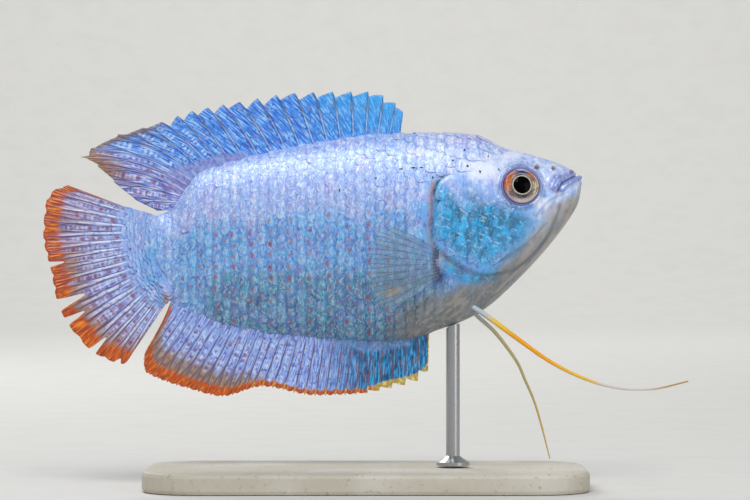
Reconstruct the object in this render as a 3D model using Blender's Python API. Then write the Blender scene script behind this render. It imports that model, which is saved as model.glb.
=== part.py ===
"""A powder-blue male dwarf gourami, life size, held above a flat base by one short rod.

The fish swims towards +X with its back up (+Z), so -Y is its right side. The origin is the middle of
the base's underside. Every length below is in millimetres, and put() turns it into metres.
"""

import math
from collections import namedtuple

import bmesh
import bpy
from mathutils import Vector

MM = 0.001
GAP = 0.3  # between pieces that touch in life

# The body's outline from the side, as (x, height), from the tail root to the snout.
BACK = ((-34.0, 39.0), (-31.3, 39.4), (-29.7, 39.7), (-28.1, 40.6), (-26.6, 43.0), (-24.9, 45.3), (-22.8, 46.4),
        (-18.3, 47.8), (-8.8, 49.9), (2.0, 51.4), (10.7, 51.6), (15.8, 51.2), (18.1, 50.4), (20.3, 49.4),
        (24.7, 48.1), (27.7, 47.1), (29.5, 46.3), (30.6, 45.4), (31.3, 44.2))
BELLY = ((-34.0, 33.6), (-31.3, 32.0), (-30.2, 29.9), (-28.4, 27.1), (-26.1, 25.6), (-23.9, 24.5), (-18.7, 22.8),
         (-9.6, 21.8), (2.0, 21.2), (7.1, 21.7), (10.1, 22.8), (13.8, 24.1), (17.0, 25.8), (22.1, 30.3),
         (27.0, 35.7), (29.9, 39.7), (30.8, 41.5), (31.3, 44.2))
HALF_WIDTH = ((-34.0, 1.0), (-31.3, 1.25), (-28.0, 1.6), (-24.0, 2.2), (-18.0, 3.1), (-10.0, 4.2), (0.0, 5.0),
              (6.0, 5.35), (11.0, 5.4), (16.0, 5.05), (20.0, 4.6), (24.0, 3.9), (27.0, 3.1), (29.0, 2.35),
              (30.3, 1.55), (31.0, 0.8), (31.3, 0.0))
TAIL_X = BACK[0][0]
SNOUT_X, SNOUT_Z = BACK[-1]
WIDEST = 0.54  # where the body is widest, as a share of its height
KEEL = ((TAIL_X, 1.1), (-18.0, 1.5), (0.0, 1.3), (12.0, 1.0), (SNOUT_X, 0.9))  # above 1 the belly narrows to a keel
RINGS = 46
RING_SIDES = 28
RING_CROWDING = 0.65  # how much the rings gather towards the blunt snout
CUTTER_REACH = 14.0  # past the widest flank

# The thin cuts that part the body, as (x, height) lines seen from the side.
GILL_CUT = ((11.9, 54.0), (10.7, 44.9), (9.7, 41.8), (9.4, 38.1), (9.9, 35.5), (11.3, 33.0), (13.6, 30.8),
            (16.6, 29.0), (19.2, 27.0), (21.0, 24.0))
STALK_CUT = ((-24.6, 50.0), (-25.4, 44.0), (-25.7, 36.0), (-25.2, 28.0), (-24.2, 21.0))
TAIL_CUT = ((-30.6, 42.0), (-31.3, 39.2), (-31.9, 37.0), (-31.8, 32.8), (-30.4, 29.4), (-28.9, 27.3), (-27.8, 25.4))
MOUTH_LINE = ((27.4, 42.6), (28.3, 43.6), (29.4, 44.5), (30.6, 45.1), (32.4, 45.8))
JAW_CUT = MOUTH_LINE[::-1] + ((27.5, 40.2), (28.2, 37.6), (29.2, 35.0))
NODE_MIDDLES = {"head": (20.0, 0.0, 40.0), "jaw": (29.5, 0.0, 41.0), "torso": (-5.0, 0.0, 36.0),
                "tail_stalk": (-28.5, 0.0, 35.0)}
SCRAP = 4.0  # a separate surface smaller than this is a scrap

# The gill cover stands proud at its free rear edge and sinks into the cheek at its front.
COVER_OUTLINE = ((10.7, 44.7), (9.7, 41.8), (9.4, 38.1), (9.9, 35.5), (11.4, 33.4), (14.2, 31.4), (17.2, 30.8),
                 (20.0, 31.6), (21.2, 33.4), (20.0, 37.0), (17.6, 41.0), (14.6, 44.0), (12.4, 45.0))
COVER_CORNERS = 30
COVER_RISE = ((9.0, 0.42), (14.0, 0.3), (22.0, 0.08))
COVER_CORE = 2.2  # from the middle plane to the cover's inner face

EYE_PLACE = (22.3, 43.7)
EYE_RADIUS = 2.9
EYE_DEPTH = 1.5  # from the eyeball's widest ring to its front
EYE_SUNK = 0.55  # from the head's surface in to that ring
RIM_RADIUS = 3.08
RIM_THICK = 0.24
RIM_RINGS = 24
NOSTRILS = ((24.6, 46.4, 0.36), (27.0, 46.3, 0.28))  # place and radius, rear then front
LIP_THICK = 0.42
LIP_OFFSET = 0.34
LIP_RINGS = 9

# Fins. A knot is (ray number, x, height), and the rays between two knots follow a smooth curve.
DORSAL_SPINES = 16
DORSAL_RAYS = 24
DORSAL_TIPS = ((0, 5.4, 54.5), (1, 4.3, 55.8), (3, 0.3, 57.5), (7, -10.3, 57.3), (10, -18.3, 56.0),
               (13, -25.2, 54.7), (15, -29.6, 53.1), (17, -35.5, 51.2), (18, -39.8, 49.3), (19, -40.6, 48.0),
               (20, -39.0, 46.7), (21, -36.6, 44.4), (22, -33.6, 41.9), (23, -30.3, 40.2))
DORSAL_ROOTS = ((0, 4.9), (5, -3.6), (10, -13.2), (14, -20.9), (18, -24.9), (23, -27.4))
DORSAL_BOW = ((0, 0.0), (12, -0.06), (19, -0.16), (23, 0.06))
DORSAL_NOTCH = 0.13
ANAL_SPINES = 17
ANAL_RAYS = 31
ANAL_TIPS = ((0, 9.0, 17.0), (1, 7.5, 15.5), (3, 3.7, 14.5), (6, -1.5, 13.5), (10, -7.4, 13.3), (15, -15.1, 14.6),
             (19, -20.9, 13.2), (22, -26.0, 14.4), (25, -30.2, 15.8), (27, -32.2, 17.1), (28, -32.3, 18.6),
             (30, -30.6, 22.2))
ANAL_ROOTS = ((0, 9.2), (5, 0.9), (10, -5.9), (16, -13.2), (19, -16.5), (24, -22.5), (27, -25.6), (30, -28.0))
ANAL_BOW = ((0, 0.0), (30, 0.05))
ANAL_NOTCHES = ((0, 0.2), (1, 0.12), (3, 0.07), (ANAL_SPINES, 0.06), (ANAL_SPINES + 2, 0.03))
SOFT_NOTCH = 0.03
ROOT_SUNK = 1.1  # how deep a fin starts in the body before it is cut clear
TAIL_RAYS = 17
TAIL_TIPS = ((0, -43.2, 43.9), (1, -45.2, 43.2), (2, -46.4, 41.3), (4, -46.8, 36.8), (6, -46.1, 33.2),
             (7, -45.7, 31.7), (9, -45.0, 28.0), (10, -44.0, 25.2), (11, -42.8, 23.2), (12, -40.6, 20.6),
             (13, -38.9, 19.3), (15, -35.2, 18.0), (16, -33.4, 20.2))
TAIL_ROOTS = ((0, -30.6, 39.2), (4, -30.9, 37.0), (9, -30.8, 32.8), (13, -29.4, 29.6), (16, -28.2, 27.9))
TAIL_SPLITS = {6: 0.14, 9: 0.27, 10: 0.2, 12: 0.2, 14: 0.06}  # after which ray, and how deep
TAIL_NOTCH = 0.015
STALK_SPAN = ((-20.0, 25.4), (-20.0, 42.0))  # closes the outline of what the tail fin stays clear of
PECTORAL_RAYS = 11
PECTORAL_ROOTS = ((0, 10.4, 34.4), (10, 10.6, 30.6))
PECTORAL_TIPS = ((0, 3.6, 38.2), (2, 1.2, 36.4), (5, 0.2, 32.2), (8, 0.9, 28.0), (10, 3.0, 25.6))
PECTORAL_FLARE = math.radians(17.0)
PECTORAL_BOW = ((0, -0.03), (10, 0.03))
PECTORAL_NOTCH = 0.04
WEB_THICK = 0.5
RAY_THICK = 0.95
RAY_TAPER = 0.2
RIM_SHARE = 0.75  # a fin's free edge is this much thinner
ROOT_SHARE = 0.45  # the swelling at a fin's root fades out over this share of its height

# The feelers are pelvic fins of one ray each, drawn out to threads. A point is (x, y, height).
RIGHT_FEELER = ((14.2, -1.3, 27.2), (15.4, -2.3, 26.3), (17.4, -2.9, 25.0), (21.6, -3.2, 21.9), (26.6, -3.7, 18.4),
                (31.5, -4.3, 16.0), (36.3, -4.8, 14.7), (41.3, -5.1, 14.6), (46.2, -5.3, 15.7))
LEFT_FEELER = ((14.4, 1.2, 26.6), (16.2, 2.1, 24.8), (18.9, 2.7, 22.4), (21.9, 3.2, 18.4), (23.2, 3.5, 15.6),
               (24.5, 3.8, 12.6), (25.5, 4.0, 9.4), (26.9, 4.3, 4.0))
FEELER_ROOT_RADIUS = 0.55
FEELER_TIP_RADIUS = 0.16
FEELER_TAPER = 0.7
FEELER_RINGS = 22

BASE_LENGTH = 64.0
BASE_WIDTH = 30.0
BASE_THICK = 3.0
BASE_CORNER = 8.0
BASE_EDGE = 0.6
CORNER_STEPS = 8
ROD_X = 12.6
ROD_RADIUS = 1.0
ROD_FOOT = ((2.4, 0.0), (2.4, 0.5), (1.5, 1.0), (ROD_RADIUS, 1.4))  # radius and height above the foot's underside
ROD_SIDES = 24

Section = namedtuple("Section", "top middle bottom width keel")


def clear_scene():
    for obj in list(bpy.data.objects):
        bpy.data.objects.remove(obj)


def smooth_at(points, x, column=1):
    """The value at x of a curve through points that never swings past them."""
    xs = [p[0] for p in points]
    ys = [p[column] for p in points]
    if x <= xs[0]:
        return ys[0]
    if x >= xs[-1]:
        return ys[-1]
    slopes = [(ys[i + 1] - ys[i]) / (xs[i + 1] - xs[i]) for i in range(len(xs) - 1)]

    def tangent(i):
        if i in (0, len(xs) - 1):
            return slopes[0 if i == 0 else -1]
        before, after = slopes[i - 1], slopes[i]
        return 0.0 if before * after <= 0.0 else 2.0 * before * after / (before + after)

    i = next(k for k in range(len(xs) - 1) if x <= xs[k + 1])
    span = xs[i + 1] - xs[i]
    t = (x - xs[i]) / span
    start, end = tangent(i) * span, tangent(i + 1) * span
    return (ys[i] * (2 * t**3 - 3 * t**2 + 1) + start * (t**3 - 2 * t**2 + t)
            + ys[i + 1] * (3 * t**2 - 2 * t**3) + end * (t**3 - t**2))


def knots_at(knots, place):
    """The (x, height) of a fin's outline at a ray number."""
    return Vector([smooth_at(knots, place, column) for column in (1, 2)])


def spline_points(points, count, closed=False):
    """count points spread along a Catmull-Rom curve through points."""
    known = [Vector(p) for p in points]
    if closed:
        known = known[-1:] + known + known[:2]
    else:
        known = [2 * known[0] - known[1]] + known + [2 * known[-1] - known[-2]]
    spans = len(known) - 3
    found = []
    for k in range(count):
        place = spans * k / (count if closed else count - 1)
        i = min(int(place), spans - 1)
        t = place - i
        a, b, c, d = known[i:i + 4]
        found.append(0.5 * (2 * b + (c - a) * t + (2 * a - 5 * b + 4 * c - d) * t**2 + (3 * b - a - 3 * c + d) * t**3))
    return found


def section_at(x, grow=0.0):
    """The body's cross section at x, grown outwards by grow."""
    top = smooth_at(BACK, x) + grow
    bottom = smooth_at(BELLY, x) - grow
    width = smooth_at(HALF_WIDTH, x) + grow
    return Section(top, bottom + WIDEST * (top - bottom), bottom, width, smooth_at(KEEL, x))


def flank_y(x, z):
    """How far the body's side lies from the middle plane at (x, z)."""
    ring = section_at(x)
    half_height = ring.top - ring.middle if z > ring.middle else ring.middle - ring.bottom
    round_share = math.sqrt(max(0.0, 1.0 - ((z - ring.middle) / half_height)**2))
    return ring.width * (round_share if z > ring.middle else round_share**ring.keel)


def flank_normal(x, z, side, step=0.2):
    """The direction that the body's side faces at (x, z)."""
    along = (flank_y(x + step, z) - flank_y(x - step, z)) / (2 * step)
    upward = (flank_y(x, z + step) - flank_y(x, z - step)) / (2 * step)
    return Vector((-along, side, -upward)).normalized()


def put(name, points, faces):
    """A mesh object from points in millimetres, with its faces turned outwards."""
    mesh = bpy.data.meshes.new(name)
    mesh.from_pydata([Vector(p) * MM for p in points], [], faces)
    shell = bmesh.new()
    shell.from_mesh(mesh)
    bmesh.ops.recalc_face_normals(shell, faces=shell.faces)
    shell.to_mesh(mesh)
    shell.free()
    obj = bpy.data.objects.new(name, mesh)
    bpy.context.collection.objects.link(obj)
    return obj


def band(first, second, sides):
    """The quads between two rings of points, given the number of each ring's first point."""
    return [(first + j, first + (j + 1) % sides, second + (j + 1) % sides, second + j) for j in range(sides)]


def loft_body(name, rise):
    """The body as rings from the tail root to the snout; rise, a curve over x, is how far it is grown."""
    points = []
    faces = [tuple(range(RING_SIDES))]
    for k in range(RINGS):
        share = (1 - RING_CROWDING) * k / RINGS + RING_CROWDING * math.sin(0.5 * math.pi * k / RINGS)
        x = TAIL_X + (SNOUT_X - TAIL_X) * share
        ring = section_at(x, smooth_at(rise, x))
        for j in range(RING_SIDES):
            angle = 2 * math.pi * j / RING_SIDES
            up, side = math.cos(angle), math.sin(angle)
            half_height = ring.top - ring.middle if up > 0 else ring.middle - ring.bottom
            y = math.copysign(abs(side)**(1.0 if up > 0 else ring.keel), side) * ring.width
            points.append((x, y, ring.middle + up * half_height))
        if k:
            faces += band((k - 1) * RING_SIDES, k * RING_SIDES, RING_SIDES)
    last = (RINGS - 1) * RING_SIDES
    points.append((SNOUT_X + smooth_at(rise, SNOUT_X), 0.0, SNOUT_Z))
    faces += [(last + j, last + (j + 1) % RING_SIDES, len(points) - 1) for j in range(RING_SIDES)]
    return put(name, points, faces)


def grown_body():
    """The body with the gap added all round, for cutting what grows from it."""
    return loft_body("clearance", ((TAIL_X, GAP), (SNOUT_X, GAP)))


def offset_line(line, distance, closed=False):
    """line moved sideways by distance, each corner along the mean of its two normals."""
    known = [Vector(p) for p in line]
    count = len(known)
    moved = []
    for i, point in enumerate(known):
        runs = []
        if closed or i:
            runs.append((point - known[i - 1]).normalized())
        if closed or i < count - 1:
            runs.append((known[(i + 1) % count] - point).normalized())
        normals = [Vector((-run.y, run.x)) for run in runs]
        mean = sum(normals, Vector((0.0, 0.0))).normalized()
        moved.append(point + mean * distance / mean.dot(normals[0]))
    return moved


def prism(name, outline, low_y, high_y):
    """A slab with the (x, height) outline, from low_y to high_y."""
    count = len(outline)
    points = [(x, y, z) for y in (low_y, high_y) for x, z in outline]
    faces = [tuple(range(count)), tuple(range(count, 2 * count))] + band(0, count, count)
    return put(name, points, faces)


def side_slab(name, outline, side, inner):
    """A slab with the (x, height) outline on one side of the fish, starting at inner."""
    return prism(name, outline, *sorted((side * inner, side * CUTTER_REACH)))


def thin_cut(name, line):
    """A curtain one gap thick that follows line through the whole fish."""
    outline = offset_line(line, GAP / 2) + offset_line(line, -GAP / 2)[::-1]
    return prism(name, outline, -CUTTER_REACH, CUTTER_REACH)


def tube(name, path, radii, sides=8, closed=False):
    """A round bar along path; a closed one is a ring, an open one ends in flat caps."""
    path = [Vector(p) for p in path]
    count = len(path)
    points = []
    faces = []
    across = Vector((0.0, 1.0, 0.0))
    for k, centre in enumerate(path):
        before = path[k - 1] if closed or k else centre
        after = path[(k + 1) % count] if closed or k < count - 1 else centre
        run = (after - before).normalized()
        across = (across - run * across.dot(run)).normalized()
        lift = run.cross(across)
        for j in range(sides):
            angle = 2 * math.pi * j / sides
            points.append(centre + (across * math.cos(angle) + lift * math.sin(angle)) * radii[k])
    for k in range(count if closed else count - 1):
        faces += band(k * sides, (k + 1) % count * sides, sides)
    if not closed:
        faces += [tuple(range(sides)), tuple(range((count - 1) * sides, count * sides))]
    return put(name, points, faces)


def turned_ball(name, centre, facing, radius, depth, columns=24, rows=12):
    """A ball flattened along facing: radius is its widest ring, and depth is from there to either pole."""
    turn = Vector((0.0, 1.0, 0.0)).rotation_difference(facing)
    points = [(0.0, -depth, 0.0)]
    for i in range(1, rows):
        polar = math.pi * i / rows
        for j in range(columns):
            angle = 2 * math.pi * j / columns
            out = radius * math.sin(polar)
            points.append((out * math.cos(angle), -depth * math.cos(polar), out * math.sin(angle)))
    points.append((0.0, depth, 0.0))
    last = len(points) - 1
    faces = [(0, 1 + j, 1 + (j + 1) % columns) for j in range(columns)]
    for i in range(rows - 2):
        faces += band(1 + i * columns, 1 + (i + 1) * columns, columns)
    faces += [(last, last - columns + j, last - columns + (j + 1) % columns) for j in range(columns)]
    return put(name, [turn @ Vector(p) + Vector(centre) for p in points], faces)


def apply_boolean(obj, operation, others):
    """Joins others to obj, or cuts them from it, or keeps what they share, and removes them."""
    helpers = bpy.data.collections.new(obj.name + "_helpers")
    bpy.context.scene.collection.children.link(helpers)
    for other in others:
        for old in list(other.users_collection):
            old.objects.unlink(other)
        helpers.objects.link(other)
    modifier = obj.modifiers.new(operation.lower(), "BOOLEAN")
    modifier.operation = operation
    modifier.operand_type = "COLLECTION"
    modifier.collection = helpers
    modifier.solver = "EXACT"
    bpy.context.view_layer.objects.active = obj
    bpy.ops.object.modifier_apply(modifier=modifier.name)
    for other in others:
        bpy.data.objects.remove(other)
    bpy.data.collections.remove(helpers)


def islands(shell):
    """The separate surfaces of a bmesh, as lists of faces."""
    unseen = set(shell.faces)
    found = []
    while unseen:
        grown = [unseen.pop()]
        for face in grown:
            for edge in face.edges:
                for other in edge.link_faces:
                    if other in unseen:
                        unseen.remove(other)
                        grown.append(other)
        found.append(grown)
    return found


def corners_of(faces):
    return [v.co for face in faces for v in face.verts]


def reach_of(faces):
    """The diagonal of the box round these faces."""
    corners = corners_of(faces)
    return (Vector(map(max, zip(*corners))) - Vector(map(min, zip(*corners)))).length


def keep_only(shell, faces):
    bmesh.ops.delete(shell, geom=list(set(shell.faces) - set(faces)), context="FACES")


def keep_largest(obj):
    """Drops loose scraps and sealed hollows that a Boolean leaves."""
    shell = bmesh.new()
    shell.from_mesh(obj.data)
    keep_only(shell, max(islands(shell), key=reach_of))
    shell.to_mesh(obj.data)
    shell.free()


def copy_piece(source, name, middle):
    """A new object with the one separate surface of source whose corners lie round middle."""
    shell = bmesh.new()
    shell.from_mesh(source.data)

    def distance(faces):
        corners = corners_of(faces)
        return (sum(corners, Vector()) / len(corners) - Vector(middle) * MM).length

    keep_only(shell, min((i for i in islands(shell) if reach_of(i) > SCRAP * MM), key=distance))
    mesh = bpy.data.meshes.new(name)
    shell.to_mesh(mesh)
    shell.free()
    obj = bpy.data.objects.new(name, mesh)
    bpy.context.collection.objects.link(obj)
    return obj


def finish_as(obj, colour, roughness, metallic=0.0):
    material = bpy.data.materials.new(obj.name)
    material.use_nodes = True
    surface = material.node_tree.nodes["Principled BSDF"]
    surface.inputs["Base Color"].default_value = (*colour, 1.0)
    surface.inputs["Roughness"].default_value = roughness
    surface.inputs["Metallic"].default_value = metallic
    material.diffuse_color = (*colour, 1.0)
    obj.data.materials.clear()
    obj.data.materials.append(material)
    obj.data.shade_smooth()
    obj.data.set_sharp_from_angle(angle=math.radians(40))


def lip(offset):
    """A rounded lip beside the mouth line, from corner to corner round the snout."""
    line = spline_points(offset_line(MOUTH_LINE[:-1], offset), LIP_RINGS)
    left = [(x, flank_y(x, z), z) for x, z in line if flank_y(x, z) > LIP_THICK]
    right = [(x, -y, z) for x, y, z in left]
    front = (left[-1][0] + LIP_THICK / 2, 0.0, left[-1][2])
    path = right + [front] + left[::-1]
    return tube("lip", path, [LIP_THICK * (0.6 if k in (0, len(path) - 1) else 1.0) for k in range(len(path))])


def eye_ball(name, side, more):
    """An eyeball set in the head's side, made larger by more on all sides."""
    x, z = EYE_PLACE
    facing = flank_normal(x, z, side)
    centre = Vector((x, side * flank_y(x, z), z)) - facing * EYE_SUNK
    return turned_ball(name, centre, facing, EYE_RADIUS + more, EYE_DEPTH + more)


def eye_rim(side):
    """The fold of skin round the eye, lying on the head's surface."""
    path = []
    for k in range(RIM_RINGS):
        angle = 2 * math.pi * k / RIM_RINGS
        x, z = EYE_PLACE[0] + RIM_RADIUS * math.cos(angle), EYE_PLACE[1] + RIM_RADIUS * math.sin(angle)
        path.append((x, side * (flank_y(x, z) + RIM_THICK / 2), z))
    return tube("rim", path, [RIM_THICK] * RIM_RINGS, sides=6, closed=True)


def nostril_pit(x, z, radius, side):
    return turned_ball("pit", (x, side * flank_y(x, z), z), flank_normal(x, z, side), radius, radius, columns=8, rows=6)


def cover_outline():
    return spline_points(COVER_OUTLINE, COVER_CORNERS, closed=True)


def build_flesh():
    """The head, jaw, torso and tail stalk, modelled whole and parted by thin cuts."""
    whole = loft_body("whole", ((TAIL_X, 0.0), (SNOUT_X, 0.0)))
    apply_boolean(whole, "UNION", [lip(LIP_OFFSET), lip(-LIP_OFFSET), eye_rim(-1), eye_rim(1)])
    pocket = offset_line(cover_outline(), -GAP, closed=True)
    cuts = [thin_cut("cut", line) for line in (GILL_CUT, STALK_CUT, TAIL_CUT, JAW_CUT)]
    for side in (-1, 1):
        cuts.append(eye_ball("orbit", side, GAP))
        cuts.append(side_slab("pocket", pocket, side, COVER_CORE - GAP))
        cuts += [nostril_pit(*nostril, side) for nostril in NOSTRILS]
    apply_boolean(whole, "DIFFERENCE", cuts)
    pieces = {name: copy_piece(whole, name, middle) for name, middle in NODE_MIDDLES.items()}
    bpy.data.objects.remove(whole)
    finish_as(pieces["head"], (0.55, 0.66, 0.86), 0.35, 0.2)
    finish_as(pieces["jaw"], (0.5, 0.56, 0.74), 0.35, 0.2)
    finish_as(pieces["torso"], (0.38, 0.58, 0.86), 0.35, 0.2)
    finish_as(pieces["tail_stalk"], (0.42, 0.6, 0.88), 0.35, 0.2)


def build_gill_covers():
    for side, name in ((-1, "gill_cover_right"), (1, "gill_cover_left")):
        cover = loft_body(name, COVER_RISE)
        apply_boolean(cover, "INTERSECT", [side_slab("slab", cover_outline(), side, COVER_CORE)])
        keep_largest(cover)
        finish_as(cover, (0.08, 0.42, 0.75), 0.32, 0.3)


def build_eyes():
    for side, name in ((-1, "eye_right"), (1, "eye_left")):
        finish_as(eye_ball(name, side, 0.0), (0.75, 0.32, 0.1), 0.12)


def fin_columns(rays, notch_after, near_next=False):
    """A fin's columns from front to back: (ray place, how far out the column reaches, whether it is a ray).

    The web between two rays stops short of their tips by the notch, deepest beside the next ray if near_next.
    """
    columns = []
    for i in range(rays - 1):
        notch = notch_after(i)
        columns.append((float(i), 1.0, True))
        columns.append((i + 0.5, 1.0 - notch * (0.6 if near_next else 1.0), False))
        if near_next:
            columns.append((i + 0.86, 1.0 - notch, False))
    return columns + [(rays - 1.0, 1.0, True)]


def ray_thickness(share, is_ray, root_thick):
    """How thick a fin is at a share of its height."""
    swelling = max(0.0, 1.0 - share / ROOT_SHARE)**2 * (root_thick - RAY_THICK)
    return (RAY_THICK - RAY_TAPER * share if is_ray else WEB_THICK) + swelling


def build_fin(name, columns, root_of, tip_of, bow, rows, root_thick=1.5, middle_y=lambda x: 0.0):
    """A web whose rays are ridges in both of its faces; middle_y says where its middle surface lies."""
    right, left = [], []
    for place, reach, is_ray in columns:
        root, tip = root_of(place), tip_of(place)
        run = tip - root
        control = root + run / 2 + Vector((-run.y, run.x)) * smooth_at(bow, place)
        for k in range(rows + 1):
            share = reach * k / rows
            x, z = root * (1 - share)**2 + control * 2 * share * (1 - share) + tip * share**2
            half = ray_thickness(share, is_ray, root_thick) * (RIM_SHARE if k == rows else 1.0) / 2
            right.append((x, middle_y(x) - half, z))
            left.append((x, middle_y(x) + half, z))
    per = rows + 1
    other = len(right)
    faces = []
    for c in range(len(columns) - 1):
        for k in range(rows):
            a, b = c * per + k, c * per + k + 1
            d, e = a + per, b + per
            faces += [(a, b, e), (a, e, d), (other + a, other + b, other + e), (other + a, other + e, other + d)]
        for a in (c * per, c * per + rows):
            faces.append((a, a + per, other + a + per, other + a))
    for a in list(range(rows)) + [(len(columns) - 1) * per + k for k in range(rows)]:
        faces.append((a, other + a, other + a + 1, a + 1))
    return put(name, right + left, faces)


def cut_clear(obj):
    """Cuts obj back to one gap from the body, so that it meets the body face to face."""
    apply_boolean(obj, "DIFFERENCE", [grown_body()])
    keep_largest(obj)


def build_dorsal():
    """Sixteen spines whose tips stand free of the web, then eight soft rays drawn into a pointed lobe."""
    columns = fin_columns(DORSAL_RAYS, lambda i: DORSAL_NOTCH if i < DORSAL_SPINES - 1 else SOFT_NOTCH, near_next=True)

    def root_of(place):
        x = smooth_at(DORSAL_ROOTS, place)
        return Vector((x, smooth_at(BACK, x) - ROOT_SUNK))

    fin = build_fin("dorsal_fin", columns, root_of, lambda p: knots_at(DORSAL_TIPS, p), DORSAL_BOW, rows=6)
    cut_clear(fin)
    finish_as(fin, (0.13, 0.38, 0.85), 0.4)


def build_anal():
    columns = fin_columns(ANAL_RAYS, lambda i: smooth_at(ANAL_NOTCHES, i))

    def root_of(place):
        x = smooth_at(ANAL_ROOTS, place)
        return Vector((x, smooth_at(BELLY, x) + ROOT_SUNK))

    fin = build_fin("anal_fin", columns, root_of, lambda p: knots_at(ANAL_TIPS, p), ANAL_BOW, rows=5)
    cut_clear(fin)
    finish_as(fin, (0.3, 0.42, 0.8), 0.4)


def build_tail_fin():
    """A fan whose web is split at the edge into lobes, with its root on the stalk's end."""
    columns = fin_columns(TAIL_RAYS, lambda i: TAIL_SPLITS.get(i, TAIL_NOTCH))
    fin = build_fin("tail_fin", columns, lambda p: knots_at(TAIL_ROOTS, p), lambda p: knots_at(TAIL_TIPS, p),
                    ((0, 0.0), (TAIL_RAYS, 0.0)), rows=8, root_thick=2.3)
    stalk = offset_line(TAIL_CUT, -GAP / 2) + list(STALK_SPAN)
    apply_boolean(fin, "DIFFERENCE", [prism("stalk_side", stalk, -CUTTER_REACH, CUTTER_REACH)])
    keep_largest(fin)
    finish_as(fin, (0.5, 0.45, 0.75), 0.4)


def build_pectorals():
    """A fan on each flank, held a little away from the body."""
    columns = fin_columns(PECTORAL_RAYS, lambda i: PECTORAL_NOTCH)
    _, root_x, root_z = PECTORAL_ROOTS[0]
    start = flank_y(root_x, root_z) - RAY_THICK / 2
    for side, name in ((-1, "pectoral_fin_right"), (1, "pectoral_fin_left")):
        fin = build_fin(name, columns, lambda p: knots_at(PECTORAL_ROOTS, p), lambda p: knots_at(PECTORAL_TIPS, p),
                        PECTORAL_BOW, rows=5, root_thick=1.7,
                        middle_y=lambda x: side * (start + (root_x - x) * math.tan(PECTORAL_FLARE)))
        cut_clear(fin)
        finish_as(fin, (0.55, 0.68, 0.78), 0.3)


def build_feelers():
    radii = []
    for k in range(FEELER_RINGS):
        share_left = 1 - k / (FEELER_RINGS - 1)
        radii.append(FEELER_TIP_RADIUS + (FEELER_ROOT_RADIUS - FEELER_TIP_RADIUS) * share_left**FEELER_TAPER)
    for path, name, colour in ((RIGHT_FEELER, "pelvic_fin_right", (0.9, 0.6, 0.12)),
                               (LEFT_FEELER, "pelvic_fin_left", (0.62, 0.58, 0.3))):
        feeler = tube(name, spline_points(path, FEELER_RINGS), radii)
        cut_clear(feeler)
        finish_as(feeler, colour, 0.35)


def build_base():
    outline = []
    for turn, (right, back) in enumerate(((1, 1), (-1, 1), (-1, -1), (1, -1))):
        for k in range(CORNER_STEPS + 1):
            angle = math.pi / 2 * (turn + k / CORNER_STEPS)
            outline.append((right * (BASE_LENGTH / 2 - BASE_CORNER) + BASE_CORNER * math.cos(angle),
                            back * (BASE_WIDTH / 2 - BASE_CORNER) + BASE_CORNER * math.sin(angle)))
    count = len(outline)
    points = [(x, y, z) for z in (0.0, BASE_THICK) for x, y in outline]
    base = put("stand_base", points, [tuple(range(count)), tuple(range(count, 2 * count))] + band(0, count, count))
    edge = base.modifiers.new("edge", "BEVEL")
    edge.width = BASE_EDGE * MM
    edge.segments = 2
    edge.limit_method = "ANGLE"
    finish_as(base, (0.72, 0.68, 0.6), 0.6)


def build_rod():
    """A turned rod with a flared foot, cut to the belly's shape at its top."""
    top = smooth_at(BELLY, ROD_X) + 3 * ROD_RADIUS
    profile = [(radius, BASE_THICK + GAP + height) for radius, height in ROD_FOOT] + [(ROD_RADIUS, top)]
    points = []
    faces = [tuple(range(ROD_SIDES))]
    for k, (radius, z) in enumerate(profile):
        for j in range(ROD_SIDES):
            angle = 2 * math.pi * j / ROD_SIDES
            points.append((ROD_X + radius * math.cos(angle), radius * math.sin(angle), z))
        if k:
            faces += band((k - 1) * ROD_SIDES, k * ROD_SIDES, ROD_SIDES)
    faces.append(tuple(range(len(points) - ROD_SIDES, len(points))))
    rod = put("stand_rod", points, faces)
    cut_clear(rod)
    finish_as(rod, (0.6, 0.6, 0.6), 0.3, 1.0)


def main():
    clear_scene()
    build_flesh()
    build_gill_covers()
    build_eyes()
    build_dorsal()
    build_anal()
    build_tail_fin()
    build_pectorals()
    build_feelers()
    build_base()
    build_rod()


main()
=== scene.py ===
"""The looks of a powder-blue dwarf gourami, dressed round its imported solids.

The fish swims towards +X with its back up (+Z), so -Y is its right side. Lengths here are in
millimetres, and lay_mesh() turns them into metres. A mark is a number kept at each point of a mesh,
most often a share from 0 to 1. The materials read the marks, and skin_marks() gives the skin and
the scales the same ones.
"""

import math

import bpy
import numpy as np
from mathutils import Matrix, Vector


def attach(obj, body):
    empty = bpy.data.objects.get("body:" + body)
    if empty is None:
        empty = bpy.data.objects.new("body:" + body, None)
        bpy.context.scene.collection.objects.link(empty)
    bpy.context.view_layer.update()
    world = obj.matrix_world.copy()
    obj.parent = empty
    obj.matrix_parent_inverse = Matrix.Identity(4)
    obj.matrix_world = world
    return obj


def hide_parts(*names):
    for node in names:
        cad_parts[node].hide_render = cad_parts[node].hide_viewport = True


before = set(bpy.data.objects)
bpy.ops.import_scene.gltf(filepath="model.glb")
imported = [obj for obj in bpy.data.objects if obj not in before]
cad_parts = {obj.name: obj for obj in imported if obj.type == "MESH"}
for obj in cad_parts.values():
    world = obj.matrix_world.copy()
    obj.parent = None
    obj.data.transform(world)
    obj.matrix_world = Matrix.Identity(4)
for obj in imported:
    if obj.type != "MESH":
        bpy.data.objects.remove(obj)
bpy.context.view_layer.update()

MM = 0.001
CHANCE_SEED = 11
chance = np.random.default_rng(CHANCE_SEED)

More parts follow.
